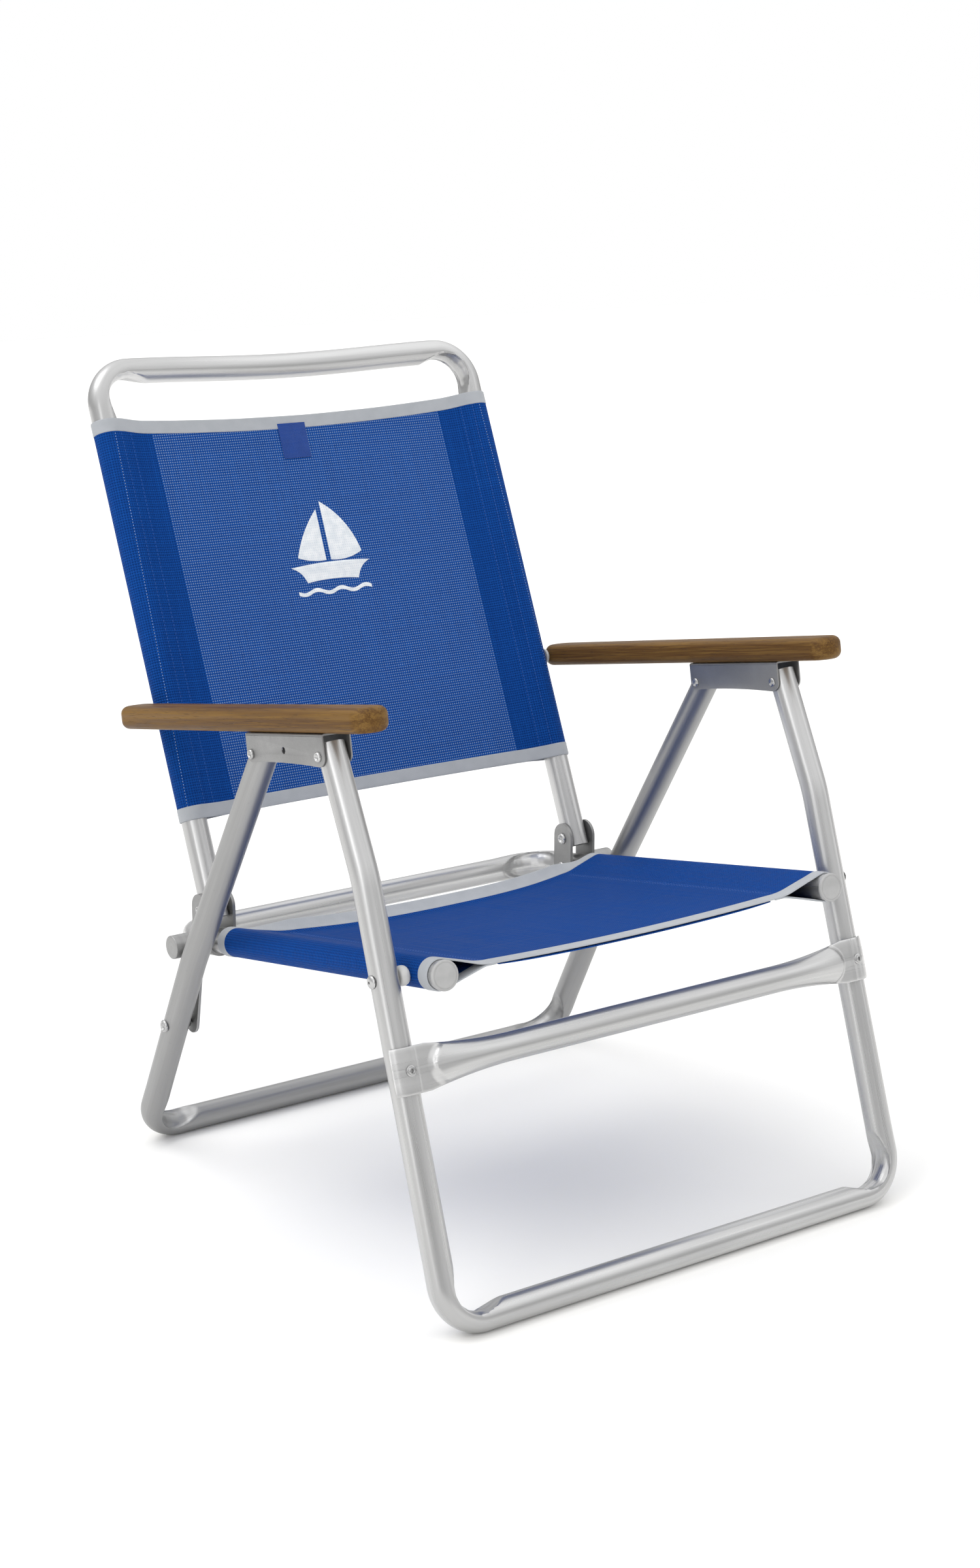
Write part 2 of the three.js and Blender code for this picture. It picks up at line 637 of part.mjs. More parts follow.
function webScrew(y, sign) {
  const { foot, tip } = screwLine(y);
  const length = foot.distanceTo(tip);
  const webFace = WOOD_THICKNESS / 2 - 2 * GAP - SHEET;
  const headHeight = 1.6;
  const profile = [
    [0, webFace - headHeight], [2 * SCREW_RADIUS, webFace - headHeight / 2], [2 * SCREW_RADIUS, webFace],
    [SCREW_RADIUS, webFace], [SCREW_RADIUS, length - SCREW_RADIUS - GAP], [0, length - GAP],
  ];
  const up = new THREE.Vector3(0, WOOD_UP.x, WOOD_UP.y);
  return turned(profile, atX(sign * LEG_X, foot), up);
}

function addArmrests() {
  const plateInner = LEG_X - TUBE_RADIUS - SHEET - 2 * GAP;
  const plateOuter = LEG_X + TUBE_RADIUS + SHEET + 2 * GAP;
  const sleeveOuter = FRAME_X + SLEEVE_RADIUS + GAP;
  const boltEnd = WOOD_X + 5;
  const bolt = [...flaredTail(), [PIN_RADIUS, boltEnd], [0, boltEnd]];
  const spacer = washerProfile(8, PIN_RADIUS + GAP, sleeveOuter, WOOD_INNER_X - GAP);
  const legRivet = rivetProfile(plateInner, plateOuter, HEAD_RADIUS - 1.5, HEAD_RADIUS - 1.5);
  eachSide((side, sign) => {
    addPiece(`armrest_${side}`, armrest(sign), TEAK);
    addPiece(`armrest_bracket_${side}`, armrestBracket(sign), BRACKET);
    addPiece(`armrest_bolt_${side}`, turnedAcross(bolt, ARMREST_PIVOT, sign), RIVET);
    addPiece(`armrest_spacer_${side}`, turnedAcross(spacer, ARMREST_PIVOT, sign), WHITE_PLASTIC);
    addPiece(`rear_leg_rivet_${side}`, turnedAcross(legRivet, REAR_LEG_PIVOT, sign), RIVET);
    addPiece(`front_leg_rivet_${side}`, turnedAcross(legRivet, FRONT_LEG_PIVOT, sign), RIVET);
    addPiece(`bracket_screw_rear_${side}`, webScrew(WEB_SCREW_Y[0], sign), RIVET);
    addPiece(`bracket_screw_front_${side}`, webScrew(WEB_SCREW_Y[1], sign), RIVET);
  });
}

// ---- Legs ----

// A leg frame from one top end down to the floor bar and up to the other.
function legFrame(topPivot, knee, floor, kneeRadius) {
  const upward = direction(knee, topPivot);
  const top = topPivot.clone().addScaledVector(upward, LEG_TOP_EXTRA);
  const oneSide = [top, knee, floor];
  const corners = [
    ...oneSide.map((point) => atX(-LEG_X, point)),
    ...oneSide.reverse().map((point) => atX(LEG_X, point)),
  ];
  return bentTube(corners, [kneeRadius, CORNER_RADIUS, CORNER_RADIUS, kneeRadius]);
}

function addFrontLegs() {
  const tube = legFrame(FRONT_LEG_PIVOT, FRONT_KNEE, FRONT_FLOOR, KNEE_RADIUS);
  const innerX = LEG_X - 2 * TUBE_RADIUS;
  const outerX = LEG_X + 2 * TUBE_RADIUS;
  const bores = [
    ...bothSides((sign) => boreAcross(FRONT_LEG_PIVOT, sign, innerX, outerX)),
    ...bothSides((sign) => boreAcross(SEAT_PIVOT, sign, innerX, outerX)),
    ...bothSides(stretcherBore),
  ];
  addPiece("front_legs", withBores(tube, bores), POLISHED);
}

function addRearLegs() {
  const tube = legFrame(REAR_LEG_PIVOT, REAR_KNEE, REAR_FLOOR, REAR_KNEE_RADIUS);
  const innerX = LEG_X - 2 * TUBE_RADIUS;
  const outerX = LEG_X + 2 * TUBE_RADIUS;
  const bores = [
    ...bothSides((sign) => boreAcross(REAR_LEG_PIVOT, sign, innerX, outerX)),
    ...bothSides((sign) => boreAcross(STAY_FOOT, sign, innerX, outerX)),
  ];
  addPiece("rear_legs", withBores(tube, bores), SATIN);
  const footRivet = rivetProfile(LEG_X - TUBE_RADIUS - GAP, LEG_X + TUBE_RADIUS + GAP);
  eachSide((side, sign) => {
    addPiece(`leg_stay_rivet_${side}`, turnedAcross(footRivet, STAY_FOOT, sign), RIVET);
  });
}

function addSeatPivots() {
  const headFace = LEG_X + TUBE_RADIUS + GAP;
  const rivet = [
    ...flaredTail(), [PIN_RADIUS, headFace], [HEAD_RADIUS, headFace], [HEAD_RADIUS * 0.7, headFace + HEAD_HEIGHT * 0.7],
    [0, headFace + HEAD_HEIGHT],
  ];
  const sleeveOuter = FRAME_X + SLEEVE_RADIUS + GAP;
  const spacer = washerProfile(9, PIN_RADIUS + GAP, sleeveOuter, LEG_X - TUBE_RADIUS - GAP);
  eachSide((side, sign) => {
    addPiece(`seat_pivot_rivet_${side}`, turnedAcross(rivet, SEAT_PIVOT, sign), RIVET);
    addPiece(`seat_spacer_${side}`, turnedAcross(spacer, SEAT_PIVOT, sign), WHITE_PLASTIC);
  });
}

// ---- Stretcher ----

const STRETCHER_LEG = pointAtHeight(FRONT_FLOOR, FRONT_KNEE, STRETCHER_LEG_Z);
const LEG_FORWARD = new THREE.Vector2(-FRONT_LEG_ALONG.y, FRONT_LEG_ALONG.x);
const WRAP_RADIUS = TUBE_RADIUS + GAP + STRETCHER_FLAT;

function stretcherBore(sign) {
  const start = STRETCHER_LEG.clone().addScaledVector(LEG_FORWARD, TUBE_RADIUS / 2);
  const end = STRETCHER_LEG.clone().addScaledVector(LEG_FORWARD, 2 * TUBE_RADIUS);
  return drill(atX(sign * LEG_X, start), atX(sign * LEG_X, end), SCREW_RADIUS + GAP);
}

// Half of the stretcher's stations, from its middle to the wrapped end beyond the leg.
function stretcherHalf() {
  const flatX = 238;
  const taperLength = 88;
  const taperSteps = 5;
  const wrapAngle = Math.PI / 3;
  const wrapSteps = 3;
  const stations = [];
  for (let i = 0; i <= taperSteps; i++) {
    const t = i / taperSteps;
    const x = flatX - taperLength * (1 - t);
    const thick = STRETCHER_FLAT + (TUBE_RADIUS - STRETCHER_FLAT) * Math.sqrt(1 - t ** 4);
    const tall = TUBE_RADIUS + (STRETCHER_FLAT_HALF - TUBE_RADIUS) * t ** 2;
    stations.push({ x, forward: WRAP_RADIUS, lean: 0, thick, tall });
  }
  for (let i = 0; i <= wrapSteps; i++) {
    const lean = (wrapAngle * i) / wrapSteps;
    const x = LEG_X + WRAP_RADIUS * Math.sin(lean);
    const forward = WRAP_RADIUS * Math.cos(lean);
    stations.push({ x, forward, lean, thick: STRETCHER_FLAT, tall: STRETCHER_FLAT_HALF });
  }
  return stations;
}

// One ring of a station, an ellipse of given half sizes in the plane across its path.
function stationRing(station, sign, thick, tall) {
  const ring = [];
  for (let i = 0; i < TUBE_SIDES; i++) {
    const angle = (i / TUBE_SIDES) * 2 * Math.PI;
    const out = thick * Math.cos(angle);
    const x = sign * (station.x + out * Math.sin(station.lean));
    const forward = station.forward + out * Math.cos(station.lean);
    const point = STRETCHER_LEG.clone().addScaledVector(LEG_FORWARD, forward);
    point.addScaledVector(FRONT_LEG_ALONG, tall * Math.sin(angle));
    ring.push(atX(x, point));
  }
  return ring;
}

// A hollow solid through matching outer and inner rings.
function hollowLoft(outerRings, innerRings) {
  const sides = outerRings[0].length;
  const positions = [...outerRings, ...innerRings].flat().flatMap((point) => point.toArray());
  const index = [];
  const quad = (a, b, c, d) => index.push(a, b, c, a, c, d);
  const outerAt = (ring, i) => ring * sides + (i % sides);
  const innerAt = (ring, i) => (outerRings.length + ring) * sides + (i % sides);
  const last = outerRings.length - 1;
  for (let i = 0; i < sides; i++) {
    for (let ring = 0; ring < last; ring++) {
      quad(outerAt(ring, i), outerAt(ring + 1, i), outerAt(ring + 1, i + 1), outerAt(ring, i + 1));
      quad(innerAt(ring, i + 1), innerAt(ring + 1, i + 1), innerAt(ring + 1, i), innerAt(ring, i));
    }
    quad(outerAt(0, i), outerAt(0, i + 1), innerAt(0, i + 1), innerAt(0, i));
    quad(outerAt(last, i + 1), outerAt(last, i), innerAt(last, i), innerAt(last, i + 1));
  }
  const geometry = new THREE.BufferGeometry();
  geometry.setAttribute("position", new THREE.Float32BufferAttribute(positions, 3));
  geometry.setIndex(index);
  return geometry;
}

function addStretcher() {
  const half = stretcherHalf();
  const stations = [
    ...[...half].reverse().map((station) => ({ station, sign: -1 })),
    ...half.map((station) => ({ station, sign: 1 })),
  ];
  const outer = stations.map(({ station, sign }) => stationRing(station, sign, station.thick, station.tall));
  const inner = stations.map(({ station, sign }) => {
    return stationRing(station, sign, station.thick - TUBE_WALL, station.tall - TUBE_WALL);
  });
  addPiece("stretcher", withBores(hollowLoft(outer, inner), bothSides(stretcherBore)), POLISHED);

  const sheetFace = WRAP_RADIUS + STRETCHER_FLAT + GAP;
  const boreFace = TUBE_RADIUS - TUBE_WALL - BORE_CURVE;
  const profile = [
    [0, boreFace - 2], [2 * SCREW_RADIUS, boreFace - 2], [2 * SCREW_RADIUS, boreFace], [SCREW_RADIUS, boreFace],
    [SCREW_RADIUS, sheetFace], [HEAD_RADIUS - 2, sheetFace], [HEAD_RADIUS - 3, sheetFace + 1.2],
    [0, sheetFace + 1.6],
  ];
  const forward = new THREE.Vector3(0, LEG_FORWARD.x, LEG_FORWARD.y);
  eachSide((side, sign) => {
    const origin = atX(sign * LEG_X, STRETCHER_LEG);
    addPiece(`stretcher_rivet_${side}`, turned(profile, origin, forward), RIVET);
  });
}

addBackFrame();
addBackSling();
addLabelTab();
addSeatFrame();
addSeatCaps();
addSeatSling();
addStays();
addArmrests();
addFrontLegs();
addSeatPivots();
addStretcher();
addRearLegs();

export default chair;
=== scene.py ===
"""Looks of the folding beach chair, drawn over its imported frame. Metres, +Z up, the sitter faces -Y."""

import json
import math

import bmesh
import bpy
import numpy as np
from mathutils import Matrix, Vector


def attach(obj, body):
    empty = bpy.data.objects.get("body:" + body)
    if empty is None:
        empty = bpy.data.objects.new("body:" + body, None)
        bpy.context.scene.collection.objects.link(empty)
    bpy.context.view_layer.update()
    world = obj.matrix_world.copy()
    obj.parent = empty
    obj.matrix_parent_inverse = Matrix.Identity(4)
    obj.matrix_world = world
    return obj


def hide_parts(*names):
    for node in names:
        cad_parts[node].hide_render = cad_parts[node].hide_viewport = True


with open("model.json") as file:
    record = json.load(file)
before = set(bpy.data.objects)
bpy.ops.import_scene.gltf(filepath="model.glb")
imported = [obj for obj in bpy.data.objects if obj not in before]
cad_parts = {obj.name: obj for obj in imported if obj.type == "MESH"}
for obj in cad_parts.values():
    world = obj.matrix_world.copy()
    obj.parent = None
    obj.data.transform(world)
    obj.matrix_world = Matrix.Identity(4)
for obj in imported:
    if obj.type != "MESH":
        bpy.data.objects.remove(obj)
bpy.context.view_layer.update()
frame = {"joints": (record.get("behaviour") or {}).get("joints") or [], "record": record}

# ---- Driving dimensions ----

TUBE_R = 0.0127
TUBE_WALL = 0.0012
CORNER_R = 0.036  # centre line of every U corner
FRONT_KNEE_R = 0.150
REAR_KNEE_R = 0.250
GAP = 0.0003

FRAME_X = 0.2198  # centre plane of the seat arms and the back's side tubes
LEG_X = 0.2562  # centre plane of the legs
SIDES = {"left": 1, "right": -1}

PIVOTS = {joint["name"]: np.array(joint["pos_m"][1:]) for joint in frame["joints"]}
BACK_PIVOT = PIVOTS["back_fold"]
SEAT_PIVOT = PIVOTS["front_leg_fold"]
ARMREST_PIVOT = PIVOTS["armrest_fold"]
REAR_LEG_PIVOT = PIVOTS["rear_leg_fold"]
STAY_PIVOT = PIVOTS["stay_fold"]
FRONT_LEG_PIVOT = SEAT_PIVOT + ARMREST_PIVOT - BACK_PIVOT

FRONT_FLOOR = np.array([-0.2725, TUBE_R])
FRONT_KNEE = np.array([-0.149, 0.380])
REAR_FLOOR = np.array([0.268, TUBE_R])
REAR_KNEE = np.array([0.1595, 0.221])
STAY_FOOT_Z = 0.146
BACK_TOP_Z = 0.7599
TOP_BAR_DROOP = 0.0045
SEAT_FRONT_Y = -0.2125
SEAT_REAR_Y = 0.248
LEG_TOP_EXTRA = 0.010  # leg tube above its bracket rivet
BACK_TUBE_START = 0.010  # back tube below its pivot

BODY_OF = {n: body for body, names in frame["record"]["behaviour"]["bodies"].items() for n in names}


def unit(vector):
    return vector / np.linalg.norm(vector)


def at_x(x, point):
    """A space point from an x and a (y, z) side-view point."""
    return np.array([x, point[0], point[1]])


def at_height(low, high, z):
    return low + (high - low) * (z - low[1]) / (high[1] - low[1])


def smooth_step(t):
    t = np.clip(t, 0, 1)
    return t * t * (3 - 2 * t)


BACK_ALONG = unit(ARMREST_PIVOT - BACK_PIVOT)
SEAT_ALONG = unit(STAY_PIVOT - SEAT_PIVOT)
FRONT_LEG_ALONG = unit(FRONT_KNEE - FRONT_FLOOR)
STAY_FOOT = at_height(REAR_FLOOR, REAR_KNEE, STAY_FOOT_Z)
BACK_FORWARD = np.array([-BACK_ALONG[1], BACK_ALONG[0]])  # out of the back, towards the sitter
SEAT_UP = np.array([-SEAT_ALONG[1], SEAT_ALONG[0]])


def back_run(z):
    """Distance along the back tubes from their pivot, at a height."""
    return (z - BACK_PIVOT[1]) / BACK_ALONG[1]


def seat_run(y):
    return (y - SEAT_PIVOT[0]) / SEAT_ALONG[0]


def seat_at_y(y):
    return SEAT_PIVOT + SEAT_ALONG * seat_run(y)


# ---- Camera ----

CAMERA_LENS = 58.74  # millimetres
CAMERA_PLACE = (-1.3748, -1.9077, 1.0080)
CAMERA_ANGLES = (75.32, 0, -35.37)  # degrees


def link(name, data):
    """A new object in the scene."""
    obj = bpy.data.objects.new(name, data)
    bpy.context.scene.collection.objects.link(obj)
    return obj


def add_camera():
    data = bpy.data.cameras.new("camera")
    data.lens = CAMERA_LENS
    camera = link("camera", data)
    camera.location = CAMERA_PLACE
    camera.rotation_euler = [math.radians(a) for a in CAMERA_ANGLES]
    bpy.context.scene.camera = camera


# ---- Shader helpers ----


def colour_of(value):
    """A shader colour from a grey or a (red, green, blue). A socket stays as it is."""
    if isinstance(value, bpy.types.NodeSocket):
        return value
    return (value, value, value, 1) if isinstance(value, float) else (*value, 1)


class NodeTree:
    """The nodes of a material or of the world, under construction."""

    def __init__(self, owner):
        owner.use_nodes = True
        self.nodes, self.links = owner.node_tree.nodes, owner.node_tree.links

    def add(self, kind, inputs=None, **settings):
        node = self.nodes.new(kind)
        for key, value in settings.items():
            setattr(node, key, value)
        for key, value in (inputs or {}).items():
            if isinstance(value, bpy.types.NodeSocket):
                self.links.new(value, node.inputs[key])
            else:
                node.inputs[key].default_value = value
        return node

    def math(self, operation, a, b=0.0):
        return self.add("ShaderNodeMath", {0: a, 1: b}, operation=operation).outputs[0]

    def times(self, a, b):
        return self.math("MULTIPLY", a, b)

    def plus(self, a, b):
        return self.math("ADD", a, b)

    def ramp(self, value, low, high, to_low=0.0, to_high=1.0):
        inputs = {"Value": value, "From Min": low, "From Max": high, "To Min": to_low, "To Max": to_high}
        return self.add("ShaderNodeMapRange", inputs, interpolation_type="SMOOTHSTEP").outputs[0]

    def mix(self, share, a, b):
        inputs = {0: share, 6: colour_of(a), 7: colour_of(b)}
        return self.add("ShaderNodeMix", inputs, data_type="RGBA").outputs[2]


class Shader(NodeTree):
    """A surface. Its coordinates are the object's own or, with uv, the metres that run over its mesh."""

    def __init__(self, name, **surface):
        self.material = bpy.data.materials.new(name)
        super().__init__(self.material)
        self.surface = self.nodes["Principled BSDF"]
        for socket, value in surface.items():
            self.surface.inputs[socket.replace("_", " ")].default_value = value

    def coordinates(self, uv=False, scale=(1, 1, 1), rotation=(0, 0, 0)):
        if uv:
            source = self.add("ShaderNodeUVMap", uv_map="run").outputs[0]
        else:
            source = self.add("ShaderNodeTexCoord").outputs["Object"]
        turned_to = self.add("ShaderNodeMapping", {0: source, 2: rotation}).outputs[0]
        return self.add("ShaderNodeMapping", {0: turned_to, 3: scale}).outputs[0]

    def weave(self, operation, *pitches):
        """The distance across a cloth, and the waves of its yarns across and along it."""
        flat = self.add("ShaderNodeSeparateXYZ", {0: self.coordinates(uv=True)}).outputs
        angles = [self.times(flat[k], 2 * math.pi / pitch) for k, pitch in enumerate(pitches)]
        return flat[0], [self.math(operation, angle) for angle in angles]

    def noise(self, vector, scale, detail=3.0, distortion=0.0):
        inputs = {"Vector": vector, "Scale": scale, "Detail": detail, "Distortion": distortion}
        return self.add("ShaderNodeTexNoise", inputs).outputs[0]

    def bump(self, height, distance, after=None):
        inputs = {"Height": height, "Distance": distance, "Strength": 1.0}
        if after is not None:
            inputs["Normal"] = after
        return self.add("ShaderNodeBump", inputs).outputs[0]

    def finish(self, colour, rough, normal):
        for socket, value in (("Base Color", colour), ("Roughness", rough), ("Normal", normal)):
            self.links.new(value, self.surface.inputs[socket])
        return self.material


# ---- Materials ----


def aluminium(name, tone, dark, rough_low, rough_high, lines, uv=True):
    """Drawn aluminium: fine lines along the tube, faint clouds and a few scuffs."""
    sh = Shader(name, Metallic=0.82)

    def clouds(stretched, even, detail):
        scale = (*stretched, 1) if uv else (even, even, even)
        return sh.noise(sh.coordinates(uv, scale), 1.0, detail)

    drawn = clouds((4, 900), 900, 2.0)
    broad = clouds((3, 160), 90, 2.0)
    cloud = clouds((2.5, 70), 22, 3.0)
    scuff = sh.ramp(sh.noise(sh.coordinates(uv), 260.0, 5.0, 0.6), 0.66, 0.72)
    grey = sh.mix(sh.ramp(cloud, 0.35, 0.65), dark, tone)
    grey = sh.mix(sh.times(sh.ramp(broad, 0.3, 0.7), 0.45), grey, dark)
    rough = sh.plus(sh.ramp(drawn, 0.25, 0.75, rough_low, rough_high), sh.times(scuff, 0.12))
    return sh.finish(grey, rough, sh.bump(broad, lines, after=sh.bump(drawn, lines)))


def sling_mesh(name, hem_x, painted_see_through, openness):
    """Vinyl-coated mesh, one yarn crossing every pitch, open in the single layer and closed in the hems.
    Its holes are painted, not cut. painted_see_through is the colour painted in the open holes: painted
    light of the backdrop on the back, painted shade of the floor under the seat. openness is how much of it
    shows. In the hems the holes get painted shade."""
    sh = Shader(name, Specular_IOR_Level=0.04)
    across, waves = sh.weave("COSINE", WEAVE_ACROSS, WEAVE_ALONG)
    hole = sh.ramp(sh.times(sh.plus(*waves), 0.5), -0.05, 0.75)
    single = sh.ramp(sh.math("ABSOLUTE", across), hem_x - 0.0003, hem_x + 0.0003, 1.0, 0.0)
    streak = sh.noise(sh.coordinates(True, (420, 6, 1)), 1.0, 2.0)
    weft = sh.noise(sh.coordinates(True, (6, 420, 1)), 1.0, 2.0)
    uneven = sh.plus(sh.times(streak, 0.5), sh.times(weft, 0.5))
    yarn = sh.mix(sh.ramp(uneven, 0.25, 0.75), (0.0034, 0.052, 0.265), (0.0062, 0.074, 0.345))
    # painted shade: in the hems the holes are darkened for the shaded layer of cloth behind them
    hem_hole_shade = sh.mix(sh.times(hole, 0.75), yarn, (0.0020, 0.026, 0.140))
    # painted light and shade: the open holes show a painted colour for what lies behind them
    open_mesh = sh.mix(sh.times(hole, openness), yarn, painted_see_through)
    height = sh.math("SUBTRACT", sh.times(sh.times(*waves), 0.35), hole)
    rough = sh.ramp(uneven, 0.3, 0.7, 0.45, 0.62)
    return sh.finish(sh.mix(single, hem_hole_shade, open_mesh), rough, sh.bump(height, 0.0009))


def woven_tape(name, light, shade, pitch, thread_bump):
    """Ribbed tape or thread, a little worn."""
    sh = Shader(name, Specular_IOR_Level=0.25, Sheen_Weight=0.2, Sheen_Roughness=0.5)
    _, ribs = sh.weave("SINE", pitch, pitch * 1.6)
    weave = sh.times(*ribs)
    cloud = sh.noise(sh.coordinates(True), 60.0, 4.0)
    worn = sh.noise(sh.coordinates(True, (30, 300, 1)), 1.0, 3.0)
    colour = sh.mix(sh.ramp(cloud, 0.3, 0.7, 0.0, 0.35), light, shade)
    # painted shade: the grooves between the ribs are mixed towards the shade colour
    colour = sh.mix(sh.ramp(weave, -1.0, 0.2, 0.35, 0.0), colour, shade)
    return sh.finish(colour, sh.ramp(worn, 0.3, 0.7, 0.55, 0.75), sh.bump(weave, thread_bump))


def teak(name):
    """Oiled teak: long growth lines, finer fibres and short open pores."""
    sh = Shader(name, Specular_IOR_Level=0.15)

    def grain(scale, detail=3.0):
        return sh.noise(sh.coordinates(scale=scale, rotation=(ARMREST_SLOPE, 0, 0)), 1.0, detail)

    rings = sh.math("SINE", sh.times(grain((60, 1.3, 75)), 22.0))
    fibre = grain((900, 14, 900))
    pores = sh.ramp(grain((1300, 60, 1300), 1.0), 0.62, 0.70)
    cloud = grain((14, 5, 20))
    colour = sh.mix(sh.ramp(rings, -0.9, 0.9), (0.105, 0.050, 0.013), (0.170, 0.090, 0.024))
    colour = sh.mix(sh.ramp(cloud, 0.35, 0.70, 0.0, 0.55), colour, (0.085, 0.040, 0.013))
    colour = sh.mix(sh.ramp(fibre, 0.40, 0.75, 0.0, 0.45), colour, (0.265, 0.150, 0.036))
    colour = sh.mix(sh.times(pores, 0.34), colour, (0.030, 0.014, 0.005))
    height = sh.math("SUBTRACT", sh.times(fibre, 0.5), pores)
    return sh.finish(colour, sh.ramp(fibre, 0.3, 0.7, 0.38, 0.58), sh.bump(height, 0.00015))


def moulded(name, light, shade, rough):
    """Moulded plastic with a fine grain."""
    sh = Shader(name, Specular_IOR_Level=0.45)
    cloud = sh.noise(sh.coordinates(), 90.0, 4.0)
    grain = sh.noise(sh.coordinates(), 1600.0, 2.0)
    colour = sh.mix(sh.ramp(cloud, 0.3, 0.7), shade, light)
    return sh.finish(colour, sh.ramp(cloud, 0.3, 0.7, rough, rough + 0.14), sh.bump(grain, 0.00004))


def printed_ink(name):
    """Matt screen print that sinks into the mesh below it."""
    sh = Shader(name, Specular_IOR_Level=0.2)
    _, waves = sh.weave("COSINE", WEAVE_ACROSS, WEAVE_ALONG)
    hole = sh.ramp(sh.times(sh.plus(*waves), 0.5), 0.55, 0.95)
    cloud = sh.noise(sh.coordinates(True), 120.0, 4.0)
    colour = sh.mix(sh.ramp(cloud, 0.3, 0.7), (0.70, 0.74, 0.78), (0.82, 0.84, 0.86))
    colour = sh.mix(sh.times(hole, 0.45), colour, (0.42, 0.50, 0.66))
    return sh.finish(colour, sh.ramp(cloud, 0.3, 0.7, 0.6, 0.8), sh.bump(hole, -0.0002))


# ---- Mesh helpers ----

WELD = 2e-6  # points closer than this are one
SLIVER = 1e-7  # edges shorter than this are dropped


class Piece:
    """Vertices, faces and running coordinates gathered for one mesh."""

    def __init__(self):
        self.points, self.faces, self.uvs = [], [], []

    def grid(self, points, uv=None, wrap=False):
        """Quads through rows of points. With wrap each row closes on itself, and uv has one more column."""
        points = np.asarray(points, float)
        rows, columns = points.shape[:2]
        start = len(self.points)
        self.points.extend(points.reshape(-1, 3))
        uv = np.zeros((rows, columns + 1, 2)) if uv is None else np.asarray(uv)
        for i in range(rows - 1):
            for j in range(columns if wrap else columns - 1):
                corners = ((i, j), (i, j + 1), (i + 1, j + 1), (i + 1, j))
                self.faces.append([start + a * columns + b % columns for a, b in corners])
                self.uvs.append([uv[corner] for corner in corners])

    def fan(self, ring):
        start = len(self.points)
        self.points.extend(ring)
        self.faces.append(list(range(start, start + len(ring))))
        self.uvs.append([(0, 0)] * len(ring))

    def mesh(self, name, sharp=35):
        data = bpy.data.meshes.new(name)
        data.from_pydata([tuple(p) for p in self.points], [], self.faces)
        layer = data.uv_layers.new(name="run")
        layer.data.foreach_set("uv", np.array([c for face in self.uvs for c in face], np.float32).ravel())
        return clean_object(name, data, sharp)


def clean_object(name, data, sharp=35):
    """Welds the mesh, turns its faces outwards and smooths all but its sharp edges."""
    made = bmesh.new()
    made.from_mesh(data)
    bmesh.ops.remove_doubles(made, verts=made.verts, dist=WELD)
    bmesh.ops.dissolve_degenerate(made, edges=made.edges, dist=SLIVER)
    bmesh.ops.recalc_face_normals(made, faces=made.faces)
    made.to_mesh(data)
    made.free()
    data.shade_smooth()
    data.set_sharp_from_angle(angle=math.radians(sharp))
    return link(name, data)


def settle(obj, material, slot, *nodes, body=None):
    """Gives a piece its finish and its body, and hides the CAD nodes that it stands for."""
    obj.data.materials.clear()
    obj.data.materials.append(material)
    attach(obj, body or BODY_OF[nodes[0]])
    if nodes:
        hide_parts(*nodes)
    return obj


# ---- Tubes ----


class Route:
    """A line of straight runs and round bends, followed by its own length."""

    def __init__(self, corners, radii):
        self.runs, self.bends, self.length = [], [], 0.0
        here = corners[0]
        for before, corner, after, radius in zip(corners, corners[1:], corners[2:], radii):
            into = unit(corner - before)
            out = unit(after - corner)
            turn = math.acos(np.clip(into @ out, -1, 1))
            cut = radius * math.tan(turn / 2)
            self.add_run(here, into, np.linalg.norm(corner - into * cut - here))
            normal = unit(np.cross(into, out))
            self.bends.append((self.length + radius * turn / 2, normal, radius))
            self.add_run(corner - into * cut, into, radius * turn, np.cross(normal, into), radius)
            here = corner + out * cut
        self.add_run(here, unit(corners[-1] - here), np.linalg.norm(corners[-1] - here))

    def add_run(self, start, into, length, inward=None, radius=0.0):
        self.runs.append((self.length, length, start, into, inward, radius))
        self.length += length

    def at(self, s):
        begin, length, start, into, inward, radius = next(
            (run for run in self.runs if s <= run[0] + run[1]), self.runs[-1]
        )
        if inward is None:
            return start + into * (s - begin), into
        angle = (s - begin) / radius
        point = start + into * radius * math.sin(angle) + inward * radius * (1 - math.cos(angle))
        return point, into * math.cos(angle) + inward * math.sin(angle)


DENT_HALF = 0.050  # half length of the crushed stretch inside a U corner
DENT_SPREAD = math.radians(82)  # half angle round the tube that it covers
DENT_DEPTH = 0.0066
DENT_WIDENS = 0.07  # share by which the tube spreads sideways there
CRUSHED_BELOW = 0.06  # bends tighter than this are crushed
TUBE_SIDES = 48
MOUTH_DEPTH = 0.035  # how far one can look into a tube's open end


def dent_at(distance, angle, seed):
    """Depth of the crushed inner side, from the distance to its middle and the angle from the inner line."""
    angle = (angle + math.pi) % (2 * math.pi) - math.pi
    inside = np.clip(1 - (distance / DENT_HALF) ** 2 - (angle / DENT_SPREAD) ** 2, 0, 1)
    ripple = 0.00016 * np.sin(distance / 0.0021 + seed) * np.sin(distance / 0.0052 + 2 * seed)
    ripple = ripple + 0.0002 * np.sin(3.1 * angle + seed) * np.cos(distance / 0.004)
    return DENT_DEPTH * smooth_step(inside * 1.5) + ripple * smooth_step(inside * 3)


def stations_of(route, coarse=0.014, fine=0.0014):
    """Lengths to put rings at: close together on crushed bends, wide apart on straight runs."""
    marks = list(np.arange(0, route.length, coarse)) + [route.length]
    for middle, _, radius in route.bends:
        if radius < CRUSHED_BELOW:
            marks += list(np.arange(middle - DENT_HALF - fine, middle + DENT_HALF + 2 * fine, fine))
        else:
            marks += list(np.arange(middle - coarse * 5, middle + coarse * 5, coarse / 3))
    kept = []
    for mark in sorted(marks):
        if 0 <= mark <= route.length and (not kept or mark - kept[-1] > fine * 0.6):
            kept.append(mark)
    kept[-1] = route.length
    return kept


